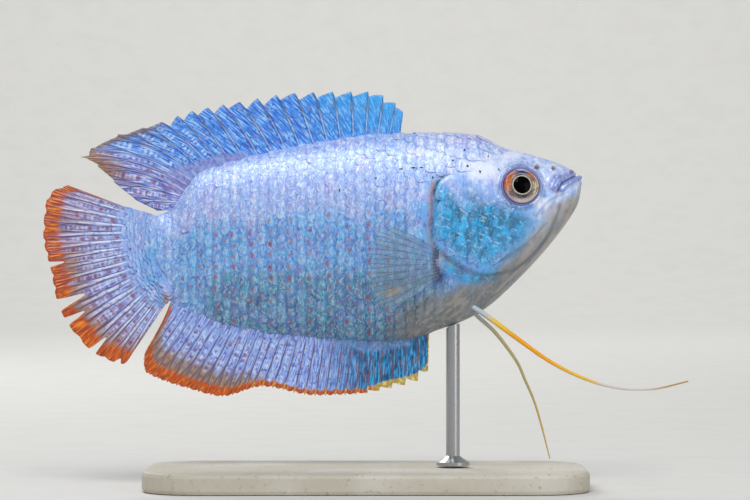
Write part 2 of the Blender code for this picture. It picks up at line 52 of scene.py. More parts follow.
# The body's outline from the side, as (x, height), and its half width, from the tail root to the snout.
BACK = ((-34.0, 39.0), (-31.3, 39.4), (-29.7, 39.7), (-28.1, 40.6), (-26.6, 43.0), (-24.9, 45.3),
        (-22.8, 46.4), (-18.3, 47.8), (-8.8, 49.9), (2.0, 51.4), (10.7, 51.6), (15.8, 51.2),
        (18.1, 50.4), (20.3, 49.4), (24.7, 48.1), (27.7, 47.1), (29.5, 46.3), (30.6, 45.4),
        (31.3, 44.2))
BELLY = ((-34.0, 33.6), (-31.3, 32.0), (-30.2, 29.9), (-28.4, 27.1), (-26.1, 25.6), (-23.9, 24.5),
         (-18.7, 22.8), (-9.6, 21.8), (2.0, 21.2), (7.1, 21.7), (10.1, 22.8), (13.8, 24.1),
         (17.0, 25.8), (22.1, 30.3), (27.0, 35.7), (29.9, 39.7), (30.8, 41.5), (31.3, 44.2))
HALF_WIDTH = ((-34.0, 1.0), (-31.3, 1.25), (-28.0, 1.6), (-24.0, 2.2), (-18.0, 3.1), (-10.0, 4.2),
              (0.0, 5.0), (6.0, 5.35), (11.0, 5.4), (16.0, 5.05), (20.0, 4.6), (24.0, 3.9), (27.0, 3.1),
              (29.0, 2.35), (30.3, 1.55), (31.0, 0.8), (31.3, 0.0))
TAIL_X = BACK[0][0]
SNOUT_X, SNOUT_Z = BACK[-1]
WIDEST = 0.54  # how high up the body is widest, as a share of its height
# How far the belly narrows to a keel, as (x, power). A power of 1 leaves it round.
KEEL = ((TAIL_X, 1.1), (-18.0, 1.5), (0.0, 1.3), (12.0, 1.0), (SNOUT_X, 0.9))

# The skin. Its half width shrinks by SKIN_TAIL into the tail fin's root. Its rings stand SKIN_COARSE
# apart behind FINE_FROM and SKIN_FINE apart in front of it.
SKIN_TAIL = ((-34.0, 0.12), (-33.2, 0.3), (-32.0, 0.66), (-30.0, 1.0))
SKIN_COARSE = 0.34
SKIN_FINE = 0.1
FINE_FROM = 16.0
SKIN_SIDES = 150
SKIN_STEPS = 6000
STEEPEST = 12.0
COAT_DEPTH = 0.16  # the skin under the scales lies this much inside the solids
SKIN_ENDS = ((SNOUT_X + 0.02, 0.0, SNOUT_Z), (TAIL_X - 0.1, 0.0, 36.3))
# The scales' own marks, as the skin between them carries them.
BARE_MARKS = {"along": 0.5, "across": 0.0, "tone": 0.5, "dot": 0.0, "cover": 0.0, "plate": 0.0}

# Lines and patches of the head, as (x, height). The gill cover's edge rises over a groove, each as
# (share of the edge, depth).
GILL_EDGE = ((12.4, 45.3), (11.2, 44.9), (10.2, 44.1), (9.7, 41.8), (9.7, 39.2), (9.4, 37.4),
             (9.9, 35.4), (11.2, 33.9), (14.0, 31.9), (16.2, 31.1), (18.6, 31.1), (21.2, 31.8),
             (23.6, 33.5), (25.6, 35.8), (27.3, 39.3), (27.8, 40.8))
GILL_RISE = ((0.0, 0.0), (0.08, 0.2), (0.2, 0.4), (0.5, 0.34), (0.62, 0.16), (1.0, 0.02))
GILL_GROOVE = ((0.0, 0.0), (0.06, 0.22), (0.2, 0.3), (0.5, 0.16), (0.75, 0.1), (1.0, 0.06))
PREOPERCLE = ((15.6, 42.4), (15.2, 40.2), (15.2, 37.6), (15.8, 35.2), (17.6, 33.6), (20.4, 33.4),
              (23.2, 35.2))
MOUTH_LINE = ((27.55, 42.7), (27.8, 43.4), (28.2, 44.05), (28.8, 44.5), (29.5, 44.85), (30.3, 45.25),
              (31.8, 45.9))
LIP_FOLD = ((28.1, 42.6), (28.6, 42.7), (29.3, 43.2), (30.2, 43.9))
UPPER_JAW = ((27.5, 42.9), (28.2, 43.9), (28.0, 45.2), (27.0, 45.5), (26.2, 44.6), (26.3, 43.2))
CHEEK = ((10.4, 43.6), (10.0, 41.0), (10.0, 37.5), (11.2, 35.2), (13.4, 33.4), (17.0, 33.0),
         (20.4, 33.8), (22.2, 35.6), (23.8, 38.0), (23.8, 39.8), (20.6, 40.7), (17.4, 41.6),
         (13.8, 42.6))
UNDER_GILL = ((11.0, 33.2), (11.6, 30.6), (15.0, 29.4), (19.0, 30.4), (18.0, 31.2), (14.4, 31.6))
THROAT = ((33.0, 43.6), (30.2, 42.8), (28.4, 41.8), (26.2, 40.0), (24.2, 37.4), (21.8, 34.6),
          (18.6, 31.6), (14.8, 29.2), (11.0, 27.8), (7.0, 24.6), (4.0, 18.0), (20.0, 18.0),
          (36.0, 36.0))
JAW_FOLDS = (((29.6, 41.0), (28.0, 38.4), (25.6, 35.6), (22.6, 32.6), (19.0, 29.6)),
             ((28.6, 42.6), (27.2, 42.0), (26.0, 41.2), (24.6, 39.6)),
             ((26.0, 38.4), (24.2, 36.4), (22.0, 34.6), (19.6, 33.2)))
NAPE = ((9.0, 46.0), (12.6, 46.0), (15.6, 46.4), (17.4, 47.6), (18.4, 49.4), (17.0, 52.0), (9.0, 53.0))
HEAD_FROM = 4.0  # the head's relief and colours are worked out in front of this
EYE_PLACE = (22.3, 43.7)
EYE_RADIUS = 2.9
EYE_DEPTH = 1.5
EYE_SUNK = 0.55
NOSTRILS = ((24.65, 46.45, 0.27), (27.05, 46.3, 0.22))
# The (x, height, half length, half height) of each pore.
PORES = ((14.2, 48.9, 0.14, 0.14), (12.5, 47.4, 0.13, 0.12), (14.6, 46.6, 0.17, 0.15),
         (16.4, 45.8, 0.15, 0.15), (19.1, 46.1, 0.12, 0.12), (17.6, 48.0, 0.1, 0.1),
         (9.6, 44.95, 0.16, 0.13), (5.05, 46.15, 0.3, 0.08), (6.8, 46.35, 0.34, 0.08),
         (7.95, 46.35, 0.26, 0.07), (1.45, 44.8, 0.12, 0.2), (-3.8, 43.1, 0.1, 0.22))
PORE_LIFT = 0.2
PORE_DROOP = 0.16
PORE_RINGS = (0.5, 0.85, 1.0)
PORE_SIDES = 14

# The head's relief. A band is (rise, distance, width) across a line or round the eye, and a groove is
# (line, depth, width).
EYE_BANDS = ((0.2, 3.0, 0.2), (-0.1, 3.5, 0.26))
SOCKET_DEPTH, SOCKET_EDGE = 1.5, (2.3, 2.86)
LIP_BANDS = ((-0.06, 1.35, 0.3), (0.36, -0.55, 0.38), (-0.1, -1.3, 0.3), (-0.42, 0.0, 0.13))
UPPER_LIP_BAND = ((0.34, 0.6, 0.4),)
GROOVES = ((LIP_FOLD, 0.07, 0.14), (PREOPERCLE, 0.13, 0.2))
# Soft dabs, as (strength, x, half length, height, half height): of relief, then of each mark.
HEAD_BUMPS = ((0.12, 31.0, 0.5, 44.9, 0.5), (0.5, 10.5, 0.75, 32.3, 1.9))
HEAD_DABS = {
    "rust": ((0.85, 10.1, 0.42, 32.6, 1.0), (0.6, 27.85, 0.42, 40.9, 0.45), (0.45, 28.9, 0.45, 40.2, 0.35),
             (0.6, 29.75, 0.26, 45.85, 0.4)),
    # This mark is painted shade in the head's gaps and pits; this dab is a dark spot on the snout.
    "gap_shade_and_spot": ((0.35, 29.75, 0.26, 45.85, 0.4),),
    # fold is painted shade: here in the crease in front of the upper jaw.
    "fold": ((0.6, 28.0, 0.11, 45.1, 0.6),),
    # gloss is painted sheen: white patches below the eye's front, behind it and above it.
    "painted_sheen": ((0.75, 25.5, 1.8, 41.4, 1.1), (1.0, 16.9, 2.9, 45.9, 1.7), (0.7, 21.5, 2.6, 48.3, 0.9)),
    "navy": ((0.95, 10.65, 0.8, 30.5, 1.3),),
}
STALK_SPOT = ((0.9, -28.9, 0.6, 27.4, 0.8),)
# Colour along the gill cover's edge: (mark, strength, distance, width), then the shares of the edge at
# which it begins, is full, begins to fade and is gone.
GILL_BANDS = (
    ("rust", 0.85, -0.42, 0.34, 0.1, 0.15, 0.3, 0.38),
    # ink: painted shade just behind the gill cover's raised edge.
    ("gap_shade_and_spot", 0.9, -0.06, 0.12, 0.0, 0.04, 0.12, 0.2),
    ("gap_shade_and_spot", 0.7, -0.04, 0.08, -1.0, -0.5, 0.4, 0.5),
    ("olive", 0.8, -0.5, 0.36, 0.32, 0.38, 0.46, 0.54),
    # fold: painted shade in the groove behind the gill cover's lower edge.
    ("fold", 0.55, -0.15, 0.3, 0.42, 0.5, 1.5, 2.0),
)

# Where chance starts for the depth of the dorsal fin's notches and for the spots of each fin's webs.
NOTCH_SEED, DORSAL_SEED, ANAL_SEED, TAIL_SEED = 12, 3, 5, 7
NOTCH_DEPTHS = (0.7, 1.25)

# Fins. Tips and roots are (ray number, x, height), and on the body's outline (ray number, x). A bow, a
# notch or a split is a share of the ray.
DORSAL_TIPS = ((0, 5.4, 54.5), (1, 4.3, 55.8), (3, 0.3, 57.5), (7, -10.3, 57.3), (10, -18.3, 56.0),
               (13, -25.2, 54.7), (15, -29.6, 53.1), (17, -35.5, 51.2), (18, -39.8, 49.3),
               (19, -40.6, 48.0), (20, -39.0, 46.7), (21, -36.6, 44.4), (22, -33.6, 41.9),
               (23, -30.3, 40.2))
DORSAL_ROOTS = ((0, 4.9), (5, -3.6), (10, -13.2), (14, -20.9), (18, -24.9), (23, -27.4))
DORSAL_BOW = ((0, 0.0), (12, -0.06), (19, -0.16), (23, 0.06))
DORSAL_SPINES, DORSAL_RAYS = 16, 24
DORSAL_NOTCH = 0.115
ANAL_TIPS = ((0, 9.0, 17.0), (1, 7.5, 15.5), (3, 3.7, 14.5), (6, -1.5, 13.5), (10, -7.4, 13.3),
             (15, -15.1, 14.6), (19, -20.9, 13.2), (22, -26.0, 14.4), (25, -30.2, 15.8),
             (27, -32.2, 17.1), (28, -32.3, 18.6), (30, -30.6, 22.2))
ANAL_ROOTS = ((0, 9.2), (5, 0.9), (10, -5.9), (16, -13.2), (19, -16.5), (24, -22.5), (27, -25.6),
              (30, -28.0))
ANAL_BOW = ((0, 0.0), (30, 0.05))
ANAL_SPINES, ANAL_RAYS = 17, 31
ANAL_NOTCHES = ((0, 0.2), (1, 0.12), (3, 0.07), (6, 0.045), (17, 0.04), (19, 0.03))
ANAL_EDGE = ((0, 0.35), (5, 0.5), (13, 0.6), (17, 0.95), (21, 1.3), (30, 1.7))
SOFT_NOTCH = 0.03
WEB_ROWS = np.arange(0.3, 0.95, 0.1)  # the maroon spots' rows, as shares of the rays
ROOT_SUNK = 1.1  # how far inside the body a fin's web starts
TAIL_TIPS = ((0, -43.2, 43.9), (1, -45.2, 43.2), (2, -46.4, 41.3), (4, -46.8, 36.8), (6, -46.1, 33.2),
             (7, -45.7, 31.7), (9, -45.0, 28.0), (10, -44.0, 25.2), (11, -42.8, 23.2),
             (12, -40.6, 20.6), (13, -38.9, 19.3), (15, -35.2, 18.0), (16, -33.4, 20.2))
TAIL_ROOTS = ((0, -30.6, 39.2), (4, -30.9, 37.0), (9, -30.8, 32.8), (13, -29.4, 29.6),
              (16, -28.2, 27.9))
TAIL_SPLITS = {6: 0.14, 9: 0.27, 10: 0.2, 12: 0.2, 14: 0.06}
TAIL_RAYS = 17
TAIL_ROWS = np.arange(0.24, 0.8, 0.085)
TAIL_BOW = ((0, 0.0), (TAIL_RAYS, 0.0))
TAIL_NOTCH = 0.015
TAIL_ROOT_HALF = 1.0
PECTORAL_ROOTS = ((0, 10.4, 34.4), (10, 10.6, 30.6))
PECTORAL_TIPS = ((0, 3.6, 38.2), (2, 1.2, 36.4), (5, 0.2, 32.2), (8, 0.9, 28.0), (10, 3.0, 25.6))
PECTORAL_RAYS = 11
PECTORAL_FLARE = math.radians(17.0)
PECTORAL_BOW = ((0, -0.03), (10, 0.03))
PECTORAL_NOTCH = 0.04
SOLID_RAY = 0.95
WEB_HALF = 0.07  # half the thickness of a web
RAY_HALF = 0.17  # and of its rays

RIGHT_FEELER = ((13.7, -0.5, 27.7), (15.3, -1.9, 26.4), (17.4, -2.9, 25.0), (21.6, -3.2, 21.9),
                (26.6, -3.7, 18.4), (31.5, -4.3, 16.0), (36.3, -4.8, 14.7), (41.3, -5.1, 14.6),
                (46.2, -5.3, 15.7))
LEFT_FEELER = ((13.9, 0.5, 27.3), (16.2, 1.9, 24.9), (18.9, 2.7, 22.4), (21.9, 3.2, 18.4),
               (23.2, 3.5, 15.6), (24.5, 3.8, 12.6), (25.5, 4.0, 9.4), (26.9, 4.3, 4.0))
FEELER_ROOT_RADIUS = 0.43
FEELER_TIP_RADIUS = 0.11
FAR_THINNER = 0.2
FEELER_RINGS = 260
FEELER_SIDES = 14

# Scales. Their columns and rows come from the spacing in life, and every second column sits half a
# row lower.
COLUMN_SPACING = ((-32.0, 1.05), (-24.0, 1.2), (-10.0, 1.4), (10.0, 1.45), (16.0, 1.65))
ROW_SPACING = ((-32.0, 1.25), (-24.0, 1.5), (-10.0, 1.75), (10.0, 1.8), (20.0, 1.7))
MIDDLE_ROW = ((-34.0, 36.3), (-24.0, 36.6), (-10.0, 37.4), (5.0, 38.6), (12.0, 40.0), (22.0, 43.5))
SCALES_FROM, SCALES_TO = -33.3, 20.0
MOST_ROWS = 14
SCALE_LENGTH = 2.3  # in columns
SCALE_WIDTH = 0.58  # half of it, in rows
SCALE_ACROSS = 9
SCALE_ALONG = 7
SCALE_DRIFT = 0.11
ROW_DRIFT = 0.08
LIFT_DRIFT = 0.02
SCALE_SIZES = (0.92, 1.08)
DOT_SIZES = (0.15, 1.0)
ROOT_ROWS = np.arange(-0.02, 0.32, 0.036)  # small scales over the tail fin's root, as shares of its rays
ROOT_STEP = 0.6
ROOT_DRIFT = 0.09
ROOT_ROW_DRIFT = 0.009
ROOT_REACH = ((0, 0.29), (4, 0.25), (9, 0.23), (13, 0.18), (16, 0.12))
ROOT_SCALE_LENGTH, ROOT_SCALE_WIDTH, ROOT_SCALE_RISE = 1.15, 0.42, 0.6
UNWRAP_PATCH = 0.003

EYE_COLUMNS = 144
EYE_ROWS = 72
# Dark patches of the iris, as (strength, angle, its spread, radius, width).
IRIS_SHADES = ((0.95, 84.0, 36.0, 1.98, 0.2), (0.85, -80.0, 50.0, 1.7, 0.2),
               (0.4, -20.0, 30.0, 1.7, 0.14), (0.6, -140.0, 20.0, 2.05, 0.25))

# The studio: a round floor that curves up, softboxes as (name, place, aim, size, power), and the camera.
FLOOR_FLAT = 900.0
FLOOR_MIDDLE = 300.0
FLOOR_CURVE = 500.0
FLOOR_STEPS = 16
FLOOR_SIDES = 96
LIGHTS = (
    ("key", (-60.0, -420.0, 520.0), (0.0, 0.0, 34.0), 320.0, 2.3),
    ("fill", (420.0, -380.0, 160.0), (5.0, 0.0, 36.0), 360.0, 0.7),
    ("rim", (-260.0, 380.0, 420.0), (0.0, 0.0, 40.0), 260.0, 1.4),
    ("backdrop", (0.0, 780.0, 620.0), (0.0, 1200.0, 60.0), 600.0, 3.0),
)
AIR_COLOUR = "#F2F4F8"
AIR_STRENGTH = 0.4
CAMERA_PLACE = (1.305, -453.1, 34.51)
CAMERA_LENS = 150.0
CAMERA_SENSOR = 36.0
CAMERA_CLIP = (0.01, 10.0)  # in metres


def smooth_step(low, high, value):
    """0 at low, 1 at high and smooth between them, whichever of the two is larger."""
    share = np.clip((value - low) / (high - low), 0.0, 1.0)
    return share * share * (3.0 - 2.0 * share)


def bell(value, centre, width):
    """1 at centre, falling away over width on both sides."""
    return np.exp(-(((value - centre) / width) ** 2))


def bands(table, gap):
    """The sum at gap of the bells that a table holds as (height, place, width)."""
    return sum(height * bell(gap, place, width) for height, place, width in table)


def between(start, full, fade, gone, value):
    """1 from full to fade, sloping away to 0 at start and at gone."""
    return smooth_step(start, full, value) * smooth_step(gone, fade, value)


def dabs(table, x, z):
    """The sum at (x, z) of soft dabs."""
    return sum(strength * bell(x, at_x, length) * bell(z, at_z, height)
               for strength, at_x, length, at_z, height in table)


def curve_at(knots, x, column=1):
    """The values at x of a curve through knots that never swings past them."""
    table = np.array(knots, float)
    xs, ys = table[:, 0], table[:, column]
    slopes = np.diff(ys) / np.diff(xs)
    products = slopes[:-1] * slopes[1:]
    sums = np.where(products > 0, slopes[:-1] + slopes[1:], 1.0)
    inner = np.where(products > 0, 2.0 * products / sums, 0.0)
    tangents = np.concatenate([slopes[:1], inner, slopes[-1:]])
    x = np.clip(np.asarray(x, float), xs[0], xs[-1])
    i = np.clip(np.searchsorted(xs, x) - 1, 0, len(xs) - 2)
    span = xs[i + 1] - xs[i]
    t = (x - xs[i]) / span
    start, end = tangents[i] * span, tangents[i + 1] * span
    return (ys[i] * (2 * t**3 - 3 * t**2 + 1) + start * (t**3 - 2 * t**2 + t)
            + ys[i + 1] * (3 * t**2 - 2 * t**3) + end * (t**3 - t**2))


def spline(points, count, closed=False):
    """count points spread along a Catmull-Rom curve through points."""
    known = np.array(points, float)
    if closed:
        known = np.concatenate([known[-1:], known, known[:2]])
    else:
        known = np.concatenate([2 * known[:1] - known[1:2], known, 2 * known[-1:] - known[-2:-1]])
    spans = len(known) - 3
    place = spans * np.arange(count) / (count if closed else count - 1)
    i = np.minimum(place.astype(int), spans - 1)
    t = (place - i)[:, None]
    a, b, c, d = known[i], known[i + 1], known[i + 2], known[i + 3]
    bend, turn = 2 * a - 5 * b + 4 * c - d, 3 * b - a - 3 * c + d
    return 0.5 * (2 * b + (c - a) * t + bend * t**2 + turn * t**3)


def grid_faces(rows, columns, closed=False):
    """The quads between the points of a grid, whose last column meets its first where it is closed."""
    i, j = np.meshgrid(np.arange(rows - 1), np.arange(columns if closed else columns - 1), indexing="ij")
    i, j = i.ravel() * columns, j.ravel()
    after = (j + 1) % columns
    return np.stack([i + j, i + after, i + columns + after, i + columns + j], axis=1)


def fan_faces(first, count, apex):
    """The triangles from a ring of points, which starts at first, to an apex."""
    j = np.arange(count)
    return np.stack([first + j, first + (j + 1) % count, np.full(count, apex)], axis=1)


def turned(faces):
    """The same faces, turned to face the other way."""
    return faces[:, [0, 3, 2, 1]] if faces.shape[1] == 4 else faces[:, [1, 0, 2]]


# The body's surface is read from tables. For each x they hold points at even arc lengths from the
# back's ridge to the keel.
STATIONS = TAIL_X + (SNOUT_X - TAIL_X) * np.sin(np.linspace(0.0, 0.5 * math.pi, 900))
ARC_SHARES = np.linspace(0.0, 1.0, 241)
ANGLES = np.linspace(0.0, math.pi, 481)


def body_table():
    """The (arc length at each angle, whole arc length, y, z) of every station."""
    top, bottom = curve_at(BACK, STATIONS), curve_at(BELLY, STATIONS)
    middle = bottom + WIDEST * (top - bottom)
    width, keel = curve_at(HALF_WIDTH, STATIONS), curve_at(KEEL, STATIONS)
    up, side = np.cos(ANGLES), np.sin(ANGLES)
    half = np.where(up > 0, (top - middle)[:, None], (middle - bottom)[:, None])
    power = np.where(up > 0, 1.0, keel[:, None])
    y = width[:, None] * side**power
    z = middle[:, None] + up * half
    steps = np.hypot(np.diff(y, axis=1), np.diff(z, axis=1))
    arcs = np.concatenate([np.zeros((len(STATIONS), 1)), np.cumsum(steps, axis=1)], axis=1)
    lengths = np.maximum(arcs[:, -1], 1e-6)
    even_y = np.empty((len(STATIONS), len(ARC_SHARES)))
    even_z = np.empty_like(even_y)
    for i, length in enumerate(lengths):
        even_y[i] = np.interp(ARC_SHARES * length, arcs[i], y[i])
        even_z[i] = np.interp(ARC_SHARES * length, arcs[i], z[i])
    return arcs, lengths, even_y, even_z


BODY_ARCS, BODY_LENGTHS, BODY_Y, BODY_Z = body_table()


def read_table(table, x, columns, column):
    """table at x and at a place between columns, by straight mixing of its four neighbours."""
    x = np.clip(x, STATIONS[0], STATIONS[-1])
    i = np.clip(np.searchsorted(STATIONS, x) - 1, 0, len(STATIONS) - 2)
    across = (x - STATIONS[i]) / (STATIONS[i + 1] - STATIONS[i])
    place = np.clip(column / columns[-1], 0.0, 1.0) * (len(columns) - 1)
    j = np.minimum(place.astype(int), len(columns) - 2)
    down = place - j
    low = table[i, j] * (1 - down) + table[i, j + 1] * down
    high = table[i + 1, j] * (1 - down) + table[i + 1, j + 1] * down
    return low * (1 - across) + high * across


def length_at(x):
    """The arc length of one side of the body, from ridge to keel."""
    return np.interp(x, STATIONS, BODY_LENGTHS)


def body_at(x, arc, side):
    """The body's surface at x and an arc length below the ridge, which may run on past ridge or keel."""
    share = arc / length_at(x)
    outside = (share < 0) | (share > 1)
    share = np.abs(share)
    share = np.where(share > 1, 2 - share, share)
    y = read_table(BODY_Y, x, ARC_SHARES, share) * np.where(outside, -side, side)
    return np.stack(np.broadcast_arrays(x, y, read_table(BODY_Z, x, ARC_SHARES, share)), axis=-1)


def facing_at(x, arc, side, step=0.12):
    """The direction that the body faces there."""
    ahead = body_at(x + step, arc, side) - body_at(x - step, arc, side)
    down = body_at(x, arc + step, side) - body_at(x, arc - step, side)
    normal = np.cross(ahead, down) * np.asarray(side)[..., None]
    return normal / np.maximum(np.linalg.norm(normal, axis=-1, keepdims=True), 1e-9)


def arc_of(x, z):
    """The arc length below the ridge at which the body at x has the height z."""
    top, bottom = curve_at(BACK, x), curve_at(BELLY, x)
    middle = bottom + WIDEST * (top - bottom)
    half = np.where(z > middle, top - middle, middle - bottom)
    angle = np.arccos(np.clip((z - middle) / half, -1.0, 1.0))
    return read_table(BODY_ARCS, np.asarray(x, float), ANGLES, angle)


def gap_to(line, x, z, closed=False):
    """How far each (x, z) lies from a smooth line, positive on its left, and the share of the line run
    by there."""
    path = spline(line, 5 * len(line), closed)
    if closed:
        path = np.concatenate([path, path[:1]])
    start, run = path[:-1], np.diff(path, axis=0)
    off_x, off_z = x[:, None] - start[:, 0], z[:, None] - start[:, 1]
    t = np.clip((off_x * run[:, 0] + off_z * run[:, 1]) / (run**2).sum(1), 0.0, 1.0)
    distance = np.hypot(off_x - t * run[:, 0], off_z - t * run[:, 1])
    nearest = distance.argmin(1)
    rows = np.arange(len(x))
    turn = run[nearest, 0] * off_z[rows, nearest] - run[nearest, 1] * off_x[rows, nearest]
    return np.copysign(distance[rows, nearest], turn), (nearest + t[rows, nearest]) / len(run)


def patch(outline, x, z, soft):
    """1 inside an outline that runs anticlockwise, 0 outside, over a soft edge."""
    return smooth_step(-soft, soft, gap_to(outline, x, z, closed=True)[0])


def on_head(shape, x, z):
    """shape(x, z) for the points of the head, and zeros for the rest."""
    flat_x, flat_z = np.ravel(x), np.ravel(z)
    found = np.zeros(len(flat_x))
    near = flat_x > HEAD_FROM
    if near.any():
        found[near] = shape(flat_x[near], flat_z[near])
    return found.reshape(np.shape(x))


def eye_gap(x, z):
    """The distance from the eye's middle."""
    return np.hypot(x - EYE_PLACE[0], z - EYE_PLACE[1])


def lip_relief(x, z):
    """The lips, with the mouth's cut between them."""
    mouth, run = gap_to(MOUTH_LINE, x, z)
    upper = bands(UPPER_LIP_BAND, mouth) * (0.15 + 0.85 * smooth_step(30.2, 28.8, x))
    fade = smooth_step(0.0, 0.14, run) * smooth_step(SNOUT_X + 0.1, SNOUT_X - 0.5, x)
    return fade * (upper + bands(LIP_BANDS, mouth))


def gill_relief(x, z):
    """The gill cover's raised edge and the groove behind it."""
    gill, run = gap_to(GILL_EDGE, x, z)
    raised = curve_at(GILL_RISE, run) * smooth_step(-0.1, 0.12, gill) * (1 - smooth_step(0.6, 7.0, gill))
    return raised - curve_at(GILL_GROOVE, run) * bell(gill, -0.22, 0.22)


def head_relief(x, z):
    """How far the skin of the head stands out from the plain body."""
    eye = eye_gap(x, z)
    rise = bands(EYE_BANDS, eye) - SOCKET_DEPTH * (1 - smooth_step(*SOCKET_EDGE, eye))
    rise += lip_relief(x, z) + gill_relief(x, z)
    rise += dabs(HEAD_BUMPS, x, z) + 0.16 * patch(UPPER_JAW, x, z, 0.22)
    for hole_x, hole_z, radius in NOSTRILS:
        gap = np.hypot(x - hole_x, z - hole_z)
        rise += 0.14 * bell(gap, radius + 0.1, 0.13) - 0.5 * bell(gap, 0.0, radius * 0.8)
    for line, depth, width in GROOVES:
        rise -= depth * bell(gap_to(line, x, z)[0], 0.0, width)
    for line in JAW_FOLDS:
        fold, run = gap_to(line, x, z)
        rise -= 0.09 * bell(fold, 0.0, 0.16) * smooth_step(0.0, 0.2, run) * smooth_step(1.0, 0.7, run)
    return rise


def relief(x, z):
    """How far the skin stands out from the plain body, which it does on the head only."""
    return on_head(head_relief, x, z)


def scaled_head(x, z):
    """1 where the head carries scales: the nape, the cheek and the gill cover."""
    cover = np.maximum(patch(NAPE, x, z, 0.3), patch(CHEEK, x, z, 0.4) * (x < 21.5))
    return cover * (eye_gap(x, z) > 3.9)


def behind_gill(x, z):
    """True behind the gill cover's free edge and the throat's fold."""
    gill = gap_to(GILL_EDGE, x, z)[0]
    return np.where(z > 45.0, x < 10.0, (gill < -1.25) & (x < 13.0))


def is_scaled(x, z):
    """True where a scale grows at (x, z)."""
    body = (x < 4.5) | behind_gill(x, z) & (x < 13.0)
    head = (scaled_head(x, z) > 0.5) & ((gap_to(GILL_EDGE, x, z)[0] > 2.0) | (z > 45.4))
    return body | head


HEAD_MARKS = ("cheek", "throat", "chin", "lilac", "fold", "painted_sheen", "olive", "rust", "navy", "gap_shade_and_spot")
SKIN_MARKS = ("pale", "frost", "deep", "belly") + tuple(BARE_MARKS) + HEAD_MARKS


def head_marks(x, z):
    """The marks of the head's own colours."""
    gill, run = gap_to(GILL_EDGE, x, z)
    mouth, mouth_run = gap_to(MOUTH_LINE, x, z)
    eye = eye_gap(x, z)
    lips = smooth_step(0.0, 0.1, mouth_run)
    marks = {name: np.zeros(len(x)) + dabs(HEAD_DABS.get(name, ()), x, z) for name in HEAD_MARKS}
    for name, strength, place, width, start, full, fade, gone in GILL_BANDS:
        marks[name] += strength * bell(gill, place, width) * between(start, full, fade, gone, run)
    for hole_x, hole_z, radius in NOSTRILS:
        gap = np.hypot(x - hole_x, z - hole_z)
        marks["rust"] += 0.8 * bell(gap, radius, 0.17)
        # Painted shade in the nostril's pit.
        marks["gap_shade_and_spot"] += 0.55 * bell(gap, 0.0, radius * 0.7)
    # The fold mark is painted shade in the creases of the jaw, along the preopercle's groove and in the
    # groove round the eye.
    for line in JAW_FOLDS:
        marks["fold"] += 0.32 * bell(gap_to(line, x, z)[0], 0.0, 0.2)
    marks["fold"] += 0.35 * bell(gap_to(PREOPERCLE, x, z)[0], -0.1, 0.25) + 0.3 * bell(eye, 3.5, 0.2)
    # A painted highlight along the lower lip's fold.
    marks["painted_sheen"] += 0.7 * bell(gap_to(LIP_FOLD, x, z)[0], 0.1, 0.14)
    marks["rust"] += 0.7 * bell(mouth, 0.0, 0.3) * bell(mouth_run, 0.03, 0.06)
    # Painted shade in the mouth's cut and in the gap round the eye's socket.
    marks["gap_shade_and_spot"] += 0.5 * bell(mouth, -0.02, 0.1) * lips + 0.5 * bell(eye, 2.84, 0.08)
    marks["lilac"] += 0.85 * bell(eye, 3.08, 0.22) + 0.55 * patch(UPPER_JAW, x, z, 0.3)
    marks["lilac"] += lips * (0.75 * bell(mouth, 0.7, 0.5) + 0.85 * bell(mouth, -0.5, 0.55))
    marks["chin"] = smooth_step(18.0, 27.0, x)
    marks["throat"] = patch(THROAT, x, z, 3.0) * (1 - 0.8 * lips * bell(mouth, -0.5, 0.9))
    marks["cheek"] = np.maximum(0.92 * patch(CHEEK, x, z, 3.0), 0.75 * patch(UNDER_GILL, x, z, 1.8))
    return marks


def skin_marks(x, z):
    """The marks that the skin and the scales share, at (x, z)."""
    x, z = np.ravel(x), np.ravel(z)
    top, bottom = curve_at(BACK, x), curve_at(BELLY, x)
    height = (z - bottom) / np.maximum(top - bottom, 0.1)
    face = smooth_step(19.0, 23.0, x) * smooth_step(39.5, 43.0, z)
    back = smooth_step(0.38, 0.86, height + 0.05 * smooth_step(8.0, 15.0, x))
    back *= 1 - 0.15 * smooth_step(-19.0, -28.0, x)
    stalk = 0.52 * smooth_step(-24.0, -29.0, x) + 0.4 * smooth_step(-31.5, -34.5, x)
    marks = {
        "pale": np.maximum(np.maximum(face, back), stalk),
        "frost": smooth_step(0.6, 0.95, height) * smooth_step(-2.0, 16.0, x)
                 + 0.6 * smooth_step(20.0, 25.0, x),
        "deep": smooth_step(0.52, 0.16, height) * between(-28.0, -19.0, 7.0, 14.0, x),
        "belly": smooth_step(0.3, 0.1, height) * smooth_step(-2.0, 10.0, x),
    }
    near = x > HEAD_FROM
    marks.update({name: np.zeros(len(x)) for name in HEAD_MARKS})
    if near.any():
        for name, values in head_marks(x[near], z[near]).items():
            marks[name][near] = values
    marks["rust"] += dabs(STALK_SPOT, x, z)
    return {name: np.clip(values, 0.0, 1.0) for name, values in marks.items()}


